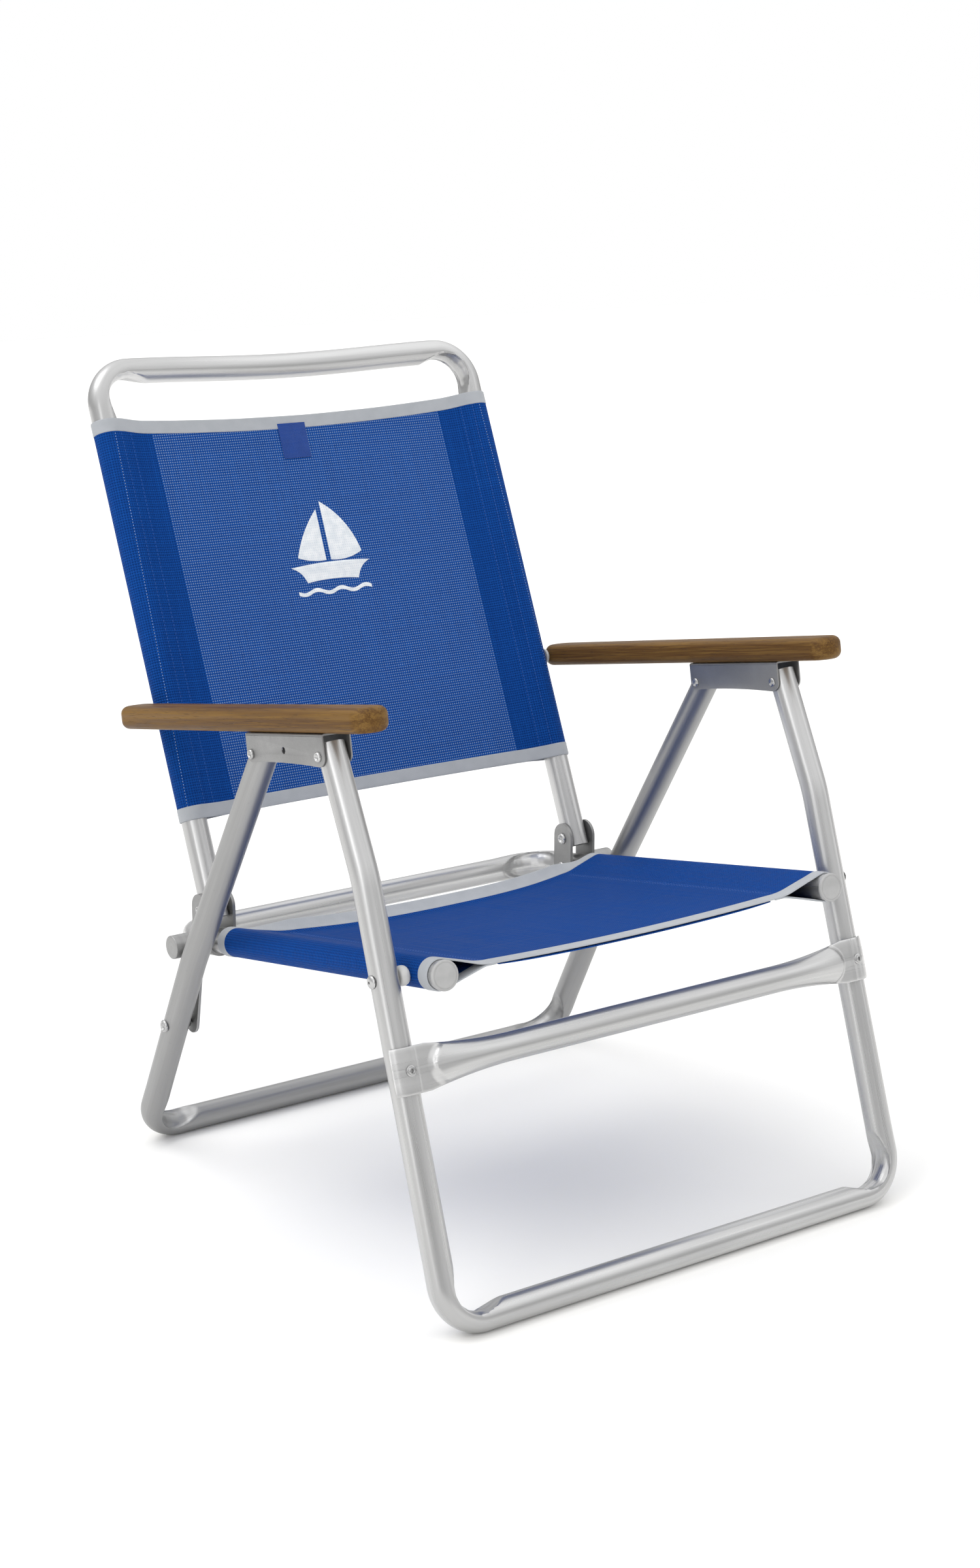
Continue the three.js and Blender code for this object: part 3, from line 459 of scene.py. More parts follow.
def tube(name, route, bend_points=None):
    """A drawn tube with open, hollow ends and crushed U corners."""
    angles = np.linspace(0, 2 * math.pi, TUBE_SIDES, endpoint=False)
    rings, lengths, cores = [], stations_of(route), []
    across = unit(np.cross(route.at(0)[1], [0.31, 0.74, 0.59]))
    for s in lengths:
        point, along = route.at(s)
        if bend_points is not None:
            point = bend_points(point)
        across = unit(across - along * (across @ along))
        other = np.cross(along, across)
        circle = np.outer(np.cos(angles), across) + np.outer(np.sin(angles), other)
        ring = TUBE_R * circle
        for k, (middle, normal, bend_radius) in enumerate(route.bends):
            if bend_radius < CRUSHED_BELOW and abs(s - middle) < DENT_HALF:
                inner = np.cross(normal, along)
                start = math.atan2(inner @ other, inner @ across)
                depth = dent_at(s - middle, angles - start, 1.7 * k + len(name))
                sideways = np.outer(ring @ normal, normal)
                widen = DENT_WIDENS * (1 - ((s - middle) / DENT_HALF) ** 2)
                ring = ring - np.outer(depth, inner) + sideways * widen
        rings.append(point + ring)
        cores.append((point, circle, along))
    piece = Piece()
    girth = np.linspace(0, 2 * math.pi * TUBE_R, TUBE_SIDES + 1)
    piece.grid(rings, [[(s, g) for g in girth] for s in lengths], wrap=True)
    for end, way in ((0, 1), (-1, -1)):
        point, circle, along = cores[end]
        mouth = point + (TUBE_R - TUBE_WALL) * circle
        floor = mouth + along * MOUTH_DEPTH * way
        piece.grid([rings[end], mouth, floor], [[(0, g) for g in girth]] * 3, wrap=True)
        piece.fan(floor)
    return piece.mesh(name)


def droop(point):
    """The top bar of the back sinks a little between its corners."""
    straight = FRAME_X - CORNER_R
    if abs(point[0]) >= straight or point[2] < BACK_TOP_Z - TUBE_R:
        return point
    return point - at_x(0, BACK_ALONG) * TOP_BAR_DROOP * (1 - (point[0] / straight) ** 2) ** 2


def leg_route(top_pivot, knee, floor, knee_radius):
    top = top_pivot + unit(top_pivot - knee) * LEG_TOP_EXTRA
    one_side = [top, knee, floor]
    corners = [at_x(-LEG_X, p) for p in one_side] + [at_x(LEG_X, p) for p in reversed(one_side)]
    return Route(corners, [knee_radius, CORNER_R, CORNER_R, knee_radius])


def u_route(end, turn):
    corners = [at_x(-FRAME_X, end), at_x(-FRAME_X, turn), at_x(FRAME_X, turn), at_x(FRAME_X, end)]
    return Route(corners, [CORNER_R, CORNER_R])


def add_frames(polished, satin):
    top = BACK_PIVOT + BACK_ALONG * back_run(BACK_TOP_Z)
    back = u_route(BACK_PIVOT - BACK_ALONG * BACK_TUBE_START, top)
    settle(tube("back_tube", back, bend_points=droop), polished, "polished_tube", "back_frame")
    seat = u_route(seat_at_y(SEAT_FRONT_Y), seat_at_y(SEAT_REAR_Y))
    settle(tube("seat_tube", seat), polished, "polished_tube", "seat_frame")
    front = leg_route(FRONT_LEG_PIVOT, FRONT_KNEE, FRONT_FLOOR, FRONT_KNEE_R)
    settle(tube("front_leg_tube", front), polished, "polished_tube", "front_legs")
    rear = leg_route(REAR_LEG_PIVOT, REAR_KNEE, REAR_FLOOR, REAR_KNEE_R)
    settle(tube("rear_leg_tube", rear), satin, "satin_tube", "rear_legs")


# ---- Slings ----

CLOTH = 0.0008  # one layer of mesh
SLEEVE_R = 0.01365  # middle of the layer round a tube
HEM_INNER_X = {"back": 0.172, "seat": 0.160}  # where the turned-back layer of each sleeve ends
HEM_SEWN = 0.011  # width of the hem where both layers lie together
WEAVE_ACROSS = 0.00255
WEAVE_ALONG = 0.0026
HEM_SEAMS_X = {"back": (0.198, 0.2105), "seat": (0.1665, 0.1695)}
SLEEVE_LIT_ROW_X = (0.2290, 0.2185)  # the pale row on each back sleeve, painted light: pale raised dashes standing for a row of lit holes, at its low and high ends
TAPE_WIDTH = 0.0135
TAPE_HALF = 0.00085  # half thickness of the folded tape with the mesh inside it
TUCK = TAPE_WIDTH * 0.3  # how far the cloth's cut edge lies inside the folded tape
CLOTH_ROWS = 44
LINING_BELOW = 0.0023  # the turned-under cloth hangs this far below the seat's own
THREAD_R = 0.00028
HEM_STITCH = (0.0042, 0.0028)  # pitch and length
# pitch and length of the pale dashes painted as light for the back sleeves' lit row
SLEEVE_LIT_DASH = (0.0030, 0.0013)


def sling_half_section(hem_x):
    """Middle line of the cloth from x = 0 round the tube and back to the hem's edge, as (x, height)."""
    front, under = CLOTH * 0.55, -CLOTH * 0.55
    meet_x = hem_x + HEM_SEWN
    reach = FRAME_X - meet_x
    lean = math.acos(SLEEVE_R / reach)
    arc = np.linspace(math.pi - lean, lean - math.pi, 40)
    line = [(x, front) for x in np.linspace(0, meet_x, 60)]
    line += [(FRAME_X + SLEEVE_R * math.cos(a), SLEEVE_R * math.sin(a)) for a in arc]
    line += [(meet_x, under), (hem_x, under)]
    line = np.array(line)
    lengths = np.concatenate([[0], np.cumsum(np.linalg.norm(np.diff(line, axis=0), axis=1))])
    total = lengths[-1]
    near_sleeve = meet_x - 0.024
    even = [*np.linspace(0, near_sleeve, 40)[:-1], *np.arange(near_sleeve, total, 0.0012), total]
    steps = np.linspace(-2, 2, 9)
    weight = np.exp(-steps ** 2 / 2)
    soft = []
    for s in even:
        spread = 0.0019 + 0.0055 * math.exp(-(((s - meet_x) / 0.014) ** 2))
        near = s + steps * spread * min(1, (total - s) / 0.004 + 0.01, s / 0.004 + 0.01)
        soft.append([np.interp(near, lengths, line[:, k]) @ weight / weight.sum() for k in (0, 1)])
    return np.array(soft), np.array(even)


class Sling:
    """A cloth stretched between the two side tubes of a frame."""

    def __init__(self, hem_x, origin, along, outward, low_edge, high_edge, relief):
        self.hem_x, self.origin, self.along, self.outward = hem_x, origin, along, outward
        self.low_edge, self.high_edge, self.relief = low_edge, high_edge, relief
        half, lengths = sling_half_section(hem_x)
        self.front = half[: np.argmax(half[:, 0])]
        self.section = np.concatenate([half[:0:-1] * [-1, 1], half])
        self.across = np.concatenate([-lengths[:0:-1], lengths])

    def point(self, x, height, run):
        """The space point over a place on the cloth, run metres along the tubes from the pivot."""
        height = height + self.relief(x, run)
        return at_x(x, self.origin + self.along * run + self.outward * height)

    def on_front(self, x, run, lift=0.0):
        """A point on the front face of the cloth, or lift above it."""
        return self.point(x, np.interp(abs(x), *self.front.T) + CLOTH / 2 + lift, run)

    def rows(self, section, runs):
        """Rows of points, where runs gives the distance along the tubes for each row and x."""
        return np.array([[self.point(x, n, run(x)) for x, n in section] for run in runs])

    def cloth(self, name):
        """The whole cloth, from tape to tape and round both sleeves."""
        def run_at(share):
            def run(x):
                low, high = self.low_edge(x) + TUCK, self.high_edge(x) - TUCK
                return low + share * (high - low)
            return run

        runs = [run_at(share) for share in np.linspace(0, 1, CLOTH_ROWS)]
        uv = [[(u, run(x)) for u, (x, _) in zip(self.across, self.section)] for run in runs]
        return shell(name, self.rows(self.section, runs), CLOTH / 2, uv)

    def lining(self, name):
        """The turned-under cloth that shows as a thin line below the tape at the low edge."""
        def front(x):
            return self.low_edge(x) - 0.0006 + 0.004 * (x / self.hem_x) ** 6

        runs = [lambda x, d=depth: front(x) + d for depth in np.linspace(0, TAPE_WIDTH * 0.6, 6)]
        half = self.section[np.abs(self.section[:, 0]) <= self.hem_x - 0.004]
        flat = half[np.argsort(half[:, 0])] - [0, LINING_BELOW]
        uv = [[(x, run(x)) for x, _ in flat] for run in runs]
        return shell(name, self.rows(flat, runs), CLOTH / 2, uv)

    def tape(self, name, edge, way):
        """A tape folded over one cut edge. way is 1 where the cloth lies further along, -1 where before."""
        depths = [0.0, 0.0002, 0.0006, 0.0012, 0.004, 0.009, 0.0125, TAPE_WIDTH - 0.0004, TAPE_WIDTH]
        runs = [lambda x, d=depth: edge(x) + way * d for depth in depths]
        points = self.rows(self.section, runs)
        fold = 0.0012
        halves = [TAPE_HALF * math.sqrt(max(0.0, 1 - (1 - min(d / fold, 1)) ** 2)) for d in depths]
        halves[-1] = CLOTH / 2 + 0.0001
        thick = np.array([[max(h, 0.00003)] * points.shape[1] for h in halves])
        uv = [[(u, depth) for u in self.across] for depth in depths]
        return shell(name, points, thick, uv)


def shell(name, points, half, uv):
    """A thin closed sheet round a grid of middle points, half of its thickness to each side."""
    normal = np.cross(np.gradient(points, axis=1), np.gradient(points, axis=0))
    normal /= np.maximum(np.linalg.norm(normal, axis=2, keepdims=True), 1e-12)
    offset = normal * np.broadcast_to(half, points.shape[:2])[..., None]
    front, back, uv = points + offset, points - offset, np.array(uv)
    piece = Piece()
    piece.grid(front, uv)
    piece.grid(back, uv)
    for edge in (np.s_[0], np.s_[-1], np.s_[:, 0], np.s_[:, -1]):
        piece.grid([front[edge], back[edge]], [uv[edge], uv[edge]])
    return piece.mesh(name, sharp=50)


def bowl(x, half):
    """1 on the centre line, falling to 0 at a distance of half from it."""
    return max(0.0, 1 - (x / half) ** 2)


BACK_LOW, BACK_HIGH = back_run(0.342), back_run(0.714)
SEAT_FRONT, SEAT_REAR = seat_run(-0.208), seat_run(0.152)
EDGE_HALF = 0.205  # half width over which a cut edge bows
BACK_LOW_RISE = 0.002
BACK_HIGH_DIP = 0.007
SEAT_FRONT_BOW = 0.006
SEAT_SCOOP = 0.0335  # how far the seat's rear edge is cut forwards at its middle
SCOOP_HALF = 0.212
SEAT_SAG = 0.004
CURL_LIFT, CURL_REACH = 0.012, 0.024  # the seat's rear edge stands up
ROLL_DROP, ROLL_REACH = 0.0015, 0.02  # and its front edge turns down


def back_relief(x, run):
    middle = (run - BACK_LOW) / (BACK_HIGH - BACK_LOW)
    ripple = 0.0003 * math.sin(x * 70 + run * 21) * math.sin(run * 55)
    sag = -0.003 - 0.002 * math.sin(math.pi * np.clip(middle, 0, 1))
    return bowl(x, HEM_INNER_X["back"]) * (sag + ripple)


def seat_rear_edge(x):
    return SEAT_REAR - SEAT_SCOOP * smooth_step(bowl(x, SCOOP_HALF))


def seat_front_edge(x):
    return SEAT_FRONT + SEAT_FRONT_BOW * bowl(x, EDGE_HALF)


def seat_relief(x, run):
    curl = CURL_LIFT * (1 - np.clip((seat_rear_edge(x) - run) / CURL_REACH, 0, 1)) ** 2
    roll = ROLL_DROP * (1 - np.clip((run - seat_front_edge(x)) / ROLL_REACH, 0, 1)) ** 2
    free = smooth_step(bowl(x, 0.206) * 2.4)  # nothing moves where the tubes hold the cloth
    return (curl - roll) * free - SEAT_SAG * bowl(x, HEM_INNER_X["seat"])


def raised_dashes(name, sling, rows, pitch, length):
    """Short raised dashes, thread on the hems and painted light for the lit row on the back sleeves, in rows
    from one (x, run) on the front face to another.
    """
    piece = Piece()
    ring = [(math.cos(a), math.sin(a)) for a in np.linspace(0, 2 * math.pi, 6, endpoint=False)]
    for (x0, run0), (x1, run1) in rows:
        count = int(math.hypot(x1 - x0, run1 - run0) / pitch)
        for i in range(count):
            shares = (i / count, (i + length / pitch) / count)
            start, end = (sling.on_front(x0 + (x1 - x0) * t, run0 + (run1 - run0) * t) for t in shares)
            out = at_x(0, sling.outward)
            beside = unit(np.cross(unit(end - start), out))
            rings = []
            for share, size in ((0, 0.25), (0.15, 0.9), (0.5, 1.15), (0.85, 0.9), (1, 0.25)):
                core = start + (end - start) * share
                rings.append([core + THREAD_R * size * (c * beside + s * out) for c, s in ring])
            piece.grid(rings, wrap=True)
            piece.fan(rings[0])
            piece.fan(rings[-1])
    return piece.mesh(name, sharp=80)


def add_slings(meshes, tape, thread, pale_thread):
    back = Sling(
        HEM_INNER_X["back"], BACK_PIVOT, BACK_ALONG, BACK_FORWARD,
        lambda x: BACK_LOW + BACK_LOW_RISE * bowl(x, EDGE_HALF),
        lambda x: BACK_HIGH - BACK_HIGH_DIP * bowl(x, EDGE_HALF),
        back_relief,
    )
    seat = Sling(
        HEM_INNER_X["seat"], SEAT_PIVOT, SEAT_ALONG, SEAT_UP, seat_front_edge, seat_rear_edge, seat_relief
    )
    plans = (
        ("back", back, ("bottom", "top"), BACK_HIGH - BACK_LOW, "back_tube"),
        ("seat", seat, ("front", "rear"), SEAT_REAR - SEAT_FRONT, "seat_tube"),
    )
    for side, sling, ends, length, holder in plans:
        cloth = sling.cloth(f"{side}_cloth")
        settle(cloth, meshes[side], "sling_mesh", f"{side}_sling")
        for end, edge, way in zip(ends, (sling.low_edge, sling.high_edge), (1, -1)):
            piece = sling.tape(f"{side}_tape_{end}", edge, way)
            settle(piece, tape, "binding_tape", f"{side}_binding_{end}")
        # each seam, and the painted light row of pale dashes on the back sleeves: its name, its rows as |x|
        # at the low and at the high edge, its thread and its stitch
        seams_and_lit_rows = [("hem", [(x, x) for x in HEM_SEAMS_X[side]], thread, HEM_STITCH)]
        if side == "back":
            # painted light: pale dashes for the row of lit holes on each back sleeve
            seams_and_lit_rows.append(("sleeve", [SLEEVE_LIT_ROW_X], pale_thread, SLEEVE_LIT_DASH))
        for name, rows, look, stitch in seams_and_lit_rows:
            paths = []
            for low_x, high_x in rows:
                low, high = sling.low_edge(low_x) + TAPE_WIDTH, sling.high_edge(high_x) - TAPE_WIDTH
                paths += [((sign * low_x, low), (sign * high_x, high)) for sign in (1, -1)]
            sewn = raised_dashes(f"{side}_{name}_stitching", sling, paths, *stitch)
            settle(sewn, look, "sling_mesh", body=side)
        if side == "seat":
            settle(seat.lining("seat_front_lining"), meshes[side], "sling_mesh", body=side)
    return back


# ---- Plates and turned pieces ----


def plate(name, outlines, thickness, edge, place, resolution=3, sharp=35):
    """A flat plate with rounded edges from closed outlines, the later ones holes.
    place maps its plane to space."""
    curve = bpy.data.curves.new(name, "CURVE")
    curve.dimensions = "2D"
    curve.fill_mode = "BOTH"
    curve.extrude = thickness / 2 - edge
    curve.bevel_depth = edge
    curve.bevel_resolution = resolution
    curve.offset = -edge
    for outline in outlines:
        spline = curve.splines.new("POLY")
        spline.points.add(len(outline) - 1)
        for point, (x, y) in zip(spline.points, outline):
            point.co = (x, y, 0, 1)
        spline.use_cyclic_u = True
    holder = link(name, curve)
    bpy.context.view_layer.update()
    graph = bpy.context.evaluated_depsgraph_get()
    data = bpy.data.meshes.new_from_object(holder.evaluated_get(graph))
    bpy.data.objects.remove(holder)
    bpy.data.curves.remove(curve)
    for vertex in data.vertices:
        vertex.co = place(*vertex.co)
    return clean_object(name, data, sharp)


def arc_points(centre, radius, start, end, steps=16):
    angles = np.linspace(start, end, steps)
    return [(centre[0] + radius * math.cos(a), centre[1] + radius * math.sin(a)) for a in angles]


def turned(name, profile, origin, axis, sides=40):
    """A profile of (radius, distance) turned about an axis through origin."""
    axis = unit(np.array(axis, float))
    across = unit(np.cross(axis, [0.2, 0.3, 0.93]))
    other = np.cross(axis, across)
    angles = np.linspace(0, 2 * math.pi, sides, endpoint=False)
    circle = np.outer(np.cos(angles), across) + np.outer(np.sin(angles), other)
    rings = [origin + axis * distance + circle * max(radius, 1e-7) for radius, distance in profile]
    lengths = np.concatenate([[0], np.cumsum(np.linalg.norm(np.diff(profile, axis=0), axis=1))])
    uv = [[(g * 0.01, s) for g in np.linspace(0, 2 * math.pi, sides + 1)] for s in lengths]
    piece = Piece()
    piece.grid(rings, uv, wrap=True)
    return piece.mesh(name)


# a dished rivet's head, in shares of its radius and its height: a raised rim round a hollow middle
DISHED = (
    (1, 0), (1, 0.35), (0.93, 0.75), (0.80, 1), (0.66, 0.98),
    (0.56, 0.72), (0.46, 0.30), (0.30, 0.12), (0, 0.06),
)
FLAT_END = [(0, 0)]
SHANK_R = 0.003


def dished_head(radius, height):
    """Outer half of a rivet with a hollow middle, as (radius, height over its face)."""
    return [(radius * r, height * h) for r, h in DISHED]


def domed_head(radius, height, dimple=0.0):
    """Outer half of a domed rivet, with a small hole in its middle if dimple is over 0."""
    dome = [(radius * math.cos(a), height * math.sin(a)) for a in np.linspace(0.25, 1.30, 8)]
    hole = [(dimple, height * 0.99), (dimple * 0.9, height * 0.4), (0, height * 0.35)]
    return [(radius, 0), *dome, *(hole if dimple else [(0, height)])]


def turn_across(side, name, node, point, profile, material, slot, sides=40):
    """A piece turned about a line across the chair, distances measured from the centre plane."""
    piece = turned(f"{name}_{side}", profile, at_x(0, point), (SIDES[side], 0, 0), sides)
    return settle(piece, material, slot, f"{node}_{side}")


def pin(side, name, node, point, inner, outer, metal):
    """A rivet across the chair. Each end is the x of its face and the profile of its head."""
    profile = [(r, inner[0] - h) for r, h in reversed(inner[1])]
    profile += [(SHANK_R, inner[0]), (SHANK_R, outer[0])]
    profile += [(r, outer[0] + h) for r, h in outer[1]]
    return turn_across(side, name, node, point, profile, metal, "rivet")


# ---- Label and print ----

LABEL_X, LABEL_WIDTH, LABEL_HEIGHT = -0.0095, 0.033, 0.037
LABEL_THICK = 0.0012
PRINT_Z = 0.578
PRINT_RUN = back_run(PRINT_Z)
PRINT_THICK = 0.0005
MILLIMETRE = 0.001


def cloth_plate(name, outline, thickness, edge, sling, x0, run0, lift=0.0):
    """A plate drawn in (x, run) on the front of a sling, with its back sunk into the cloth."""
    obj = plate(name, [outline], thickness, edge, lambda u, v, w: sling.on_front(x0 + u, run0 + v, lift + w))
    layer = obj.data.uv_layers.new(name="run")
    along, start = at_x(0, sling.along), at_x(0, sling.origin)
    for loop in obj.data.loops:
        co = np.array(obj.data.vertices[loop.vertex_index].co)
        layer.data[loop.index].uv = (co[0], (co - start) @ along)
    return obj


def curved_outline(*corners, steps=14):
    """A closed outline through (x, y, how far the side to the next corner stands out)."""
    points = []
    for (x, y, bulge), after in zip(corners, corners[1:] + corners[:1]):
        start, end = np.array((x, y), float), np.array(after[:2], float)
        out = np.array([end[1] - start[1], start[0] - end[0]])
        out /= np.linalg.norm(out)
        shares = np.linspace(0, 1, steps)[:-1]
        points += [start + (end - start) * t + out * bulge * 4 * t * (1 - t) for t in shares]
    return points


def sailing_boat():
    """Outlines, in millimetres about the middle, of a plain little sailing boat over a wave."""
    xs = np.linspace(-44, 44, 45)
    wave = [(x, 2 * math.sin(x / 44 * 3 * math.pi) - 44) for x in xs]
    return {
        "mainsail": curved_outline((3, 48, 0), (3, -14, 3), (41, -8, 7)),
        "jib": curved_outline((-3, 40, 3), (-36, -9, 2), (-3, -14, 0)),
        "hull": curved_outline((-47, -19, -3), (-31, -36, -2), (31, -36, -3), (48, -18, 2.5)),
        "wave": wave + [(x, y - 4) for x, y in reversed(wave)],
    }


def add_marks(back, mesh_dark, ink):
    top_run = back.high_edge(LABEL_X) - TAPE_WIDTH * 0.6
    w, h = LABEL_WIDTH / 2, LABEL_HEIGHT
    outline = [(-w, 0), (-w * 0.96, -h), (w * 0.96, -h), (w, 0)]
    label = cloth_plate("label_tab_cloth", outline, LABEL_THICK, 0.0003, back, LABEL_X, top_run, 0.0003)
    settle(label, mesh_dark, "sling_mesh", "label_tab")
    for part, outline in sailing_boat().items():
        scaled = [(x * MILLIMETRE, y * MILLIMETRE) for x, y in outline]
        mark = cloth_plate(f"print_{part}", scaled, PRINT_THICK, 0.0001, back, 0, PRINT_RUN)
        settle(mark, ink, "binding_tape", body="back")


# ---- Seat brackets, stays and bushes ----

PLATE = 0.003
BRACKET_HALF = 0.0145  # half width of the seat brackets
BRACKET_TOP = 0.016  # their top over the back's pivot
STAY_HALF = 0.0125  # half width of the stays
STAY_INNER_X = 0.2372
BUSH_R = 0.0115
BUSH_EDGE = 0.0012
BUSH_END_X = 0.267


def seat_bracket(name, sign):
    """A strip of plate bent round the underside of a seat arm, with round-topped cheeks."""
    middle_r = TUBE_R + GAP + PLATE / 2
    top_z = BACK_PIVOT[1] + BRACKET_TOP
    cap_z = top_z - BRACKET_HALF
    axis_z = seat_at_y(BACK_PIVOT[0])[1]
    cheek = list(top_z - BRACKET_HALF * (1 - np.sin(np.linspace(math.pi / 2, 0, 12))))
    cheek += list(np.linspace(cap_z, axis_z, 8))[1:]
    path = [(-middle_r, z) for z in cheek]
    path += [(middle_r * math.sin(a), axis_z - middle_r * math.cos(a)) for a in np.linspace(-1.5, 1.5, 18)]
    path += [(middle_r, z) for z in reversed(cheek)]
    slope = SEAT_ALONG[1] / SEAT_ALONG[0]
    rows, uv = [], []
    for x, z in path:
        half = BRACKET_HALF
        if z > cap_z:
            half = math.sqrt(max(BRACKET_HALF ** 2 - (z - cap_z) ** 2, 4e-7))
        leaning = 0 if z > axis_z + 0.005 else slope  # the part round the tube follows its slope
        ys = half * np.linspace(-1, 1, 13)
        rows.append([(sign * FRAME_X + x, BACK_PIVOT[0] + y, z + y * leaning) for y in ys])
        uv.append([(y, z) for y in ys])
    obj = shell(name, np.array(rows), PLATE / 2, uv)
    bevel = obj.modifiers.new("bevel", "BEVEL")
    bevel.width = 0.0005
    bevel.segments = 2
    bevel.limit_method = "ANGLE"
    bevel.angle_limit = math.radians(40)
    bevel.harden_normals = False
    return obj


def add_stays(metal, satin, bracket):
    along = unit(STAY_FOOT - STAY_PIVOT)
    facing = math.atan2(along[1], along[0])
    quarter = math.pi / 2
    outline = arc_points(STAY_FOOT, STAY_HALF, facing - quarter, facing + quarter)
    outline += arc_points(STAY_PIVOT, STAY_HALF, facing + quarter, facing + 3 * quarter)
    clear = TUBE_R + PLATE + 2 * GAP
    inside, outside = FRAME_X - clear, FRAME_X + clear
    start = STAY_INNER_X + PLATE + GAP
    bush = [(0, start), (BUSH_R - 0.0004, start), (BUSH_R, start + 0.0004)]
    for a in (0, 0.4, 0.8, 1.2, 1.57):
        bush.append((BUSH_R - BUSH_EDGE * (1 - math.cos(a)), BUSH_END_X - BUSH_EDGE * (1 - math.sin(a))))
    bush += [(BUSH_R * 0.5, BUSH_END_X - 0.0001), (0, BUSH_END_X - 0.0002)]
    for side, sign in SIDES.items():
        piece = seat_bracket(f"seat_clip_{side}", sign)
        settle(piece, bracket, "bracket", f"seat_bracket_{side}")
        pin(side, "back_hinge_rivet", "back_pivot_rivet", BACK_PIVOT,
            (inside, dished_head(0.0058, 0.0022)), (outside, dished_head(0.0048, 0.0016)), metal)
        pin(side, "stay_axle", "stay_pin", STAY_PIVOT,
            (inside, domed_head(0.0058, 0.0022)), (BUSH_END_X - 0.0053, FLAT_END), metal)
        turn_across(side, "stop_bush_turned", "stop_bush", STAY_PIVOT, bush, satin, "satin_tube", 56)
        middle = sign * (STAY_INNER_X + PLATE / 2)
        bar = plate(f"stay_bar_{side}", [outline], PLATE, 0.0006, lambda u, v, w, x=middle: (x + w, u, v))
        settle(bar, satin, "satin_tube", f"stay_{side}")
        pin(side, "stay_foot_pin", "stay_foot_stud", STAY_FOOT,
            (STAY_INNER_X - GAP, domed_head(0.006, 0.0022)), (STAY_INNER_X + PLATE, FLAT_END), metal)


# ---- Armrests ----

WOOD_WIDTH = 0.036
WOOD_THICKNESS = 0.022
WOOD_EDGE = 0.0075
WOOD_INNER_X = 0.2375
WOOD_X = WOOD_INNER_X + WOOD_WIDTH / 2
ARMREST_SLOPE = math.atan(0.184)
ARMREST_HEIGHT = 0.491
ARMREST_FRONT_Y = -0.171
ARMREST_REAR_Y = 0.271
SHEET = 0.0015
WEB_SCREW_Y = {"rear": -0.012, "front": -0.072}
WEB_TOP = -WOOD_THICKNESS / 2 - GAP  # heights over the wood's centre line
SHEET_BEND = 0.0022
VENT_AT = np.array([-0.0416, 0.472])
VENT_R = 0.0031  # the small hole in the outer cheek
CHEEK_X = TUBE_R + GAP + SHEET / 2  # middle of each cheek from the leg's centre plane
CLOTH_FACE = FRAME_X + SLEEVE_R + CLOTH / 2 + GAP  # just outside a sling's sleeve
HOLLOW_END = FRAME_X + TUBE_R - TUBE_WALL - 0.005  # a bolt's end inside the frame tube
SPACER_BORE = 0.0033
WOOD_ALONG = np.array([math.cos(ARMREST_SLOPE), -math.sin(ARMREST_SLOPE)])
WOOD_UP = np.array([math.sin(ARMREST_SLOPE), math.cos(ARMREST_SLOPE)])
WOOD_ORIGIN = np.array([0, ARMREST_HEIGHT])


def wood_point(along, up):
    return WOOD_ORIGIN + WOOD_ALONG * along + WOOD_UP * up


def in_wood(point):
    """A side-view point as (along the armrest, height over its centre line)."""
    return (point - WOOD_ORIGIN) @ WOOD_ALONG, (point - WOOD_ORIGIN) @ WOOD_UP


def bracket_outline(top):
    """Outline of a cheek with its two round ears, and where its top edge ends."""
    ear, front_ear, waist = 0.0072, 0.009, 0.0022
    rear, front = in_wood(REAR_LEG_PIVOT), in_wood(FRONT_LEG_PIVOT)
    rear_end, front_end = rear[0] + ear, front[0] - front_ear
    outline = [(rear_end, top), (front_end, top)]
    outline += arc_points(front, front_ear, math.pi, 1.5 * math.pi)
    control = np.array([(front[0] + rear[0]) / 2, front[1] - front_ear + 2 * waist])
    start, end = np.array(outline[-1]), np.array([rear[0], rear[1] - ear])
    for t in np.linspace(0, 1, 14)[1:-1]:
        outline.append((1 - t) ** 2 * start + 2 * t * (1 - t) * control + t * t * end)
    outline += arc_points(rear, ear, 1.5 * math.pi, 2 * math.pi)
    return outline, (front_end, rear_end)


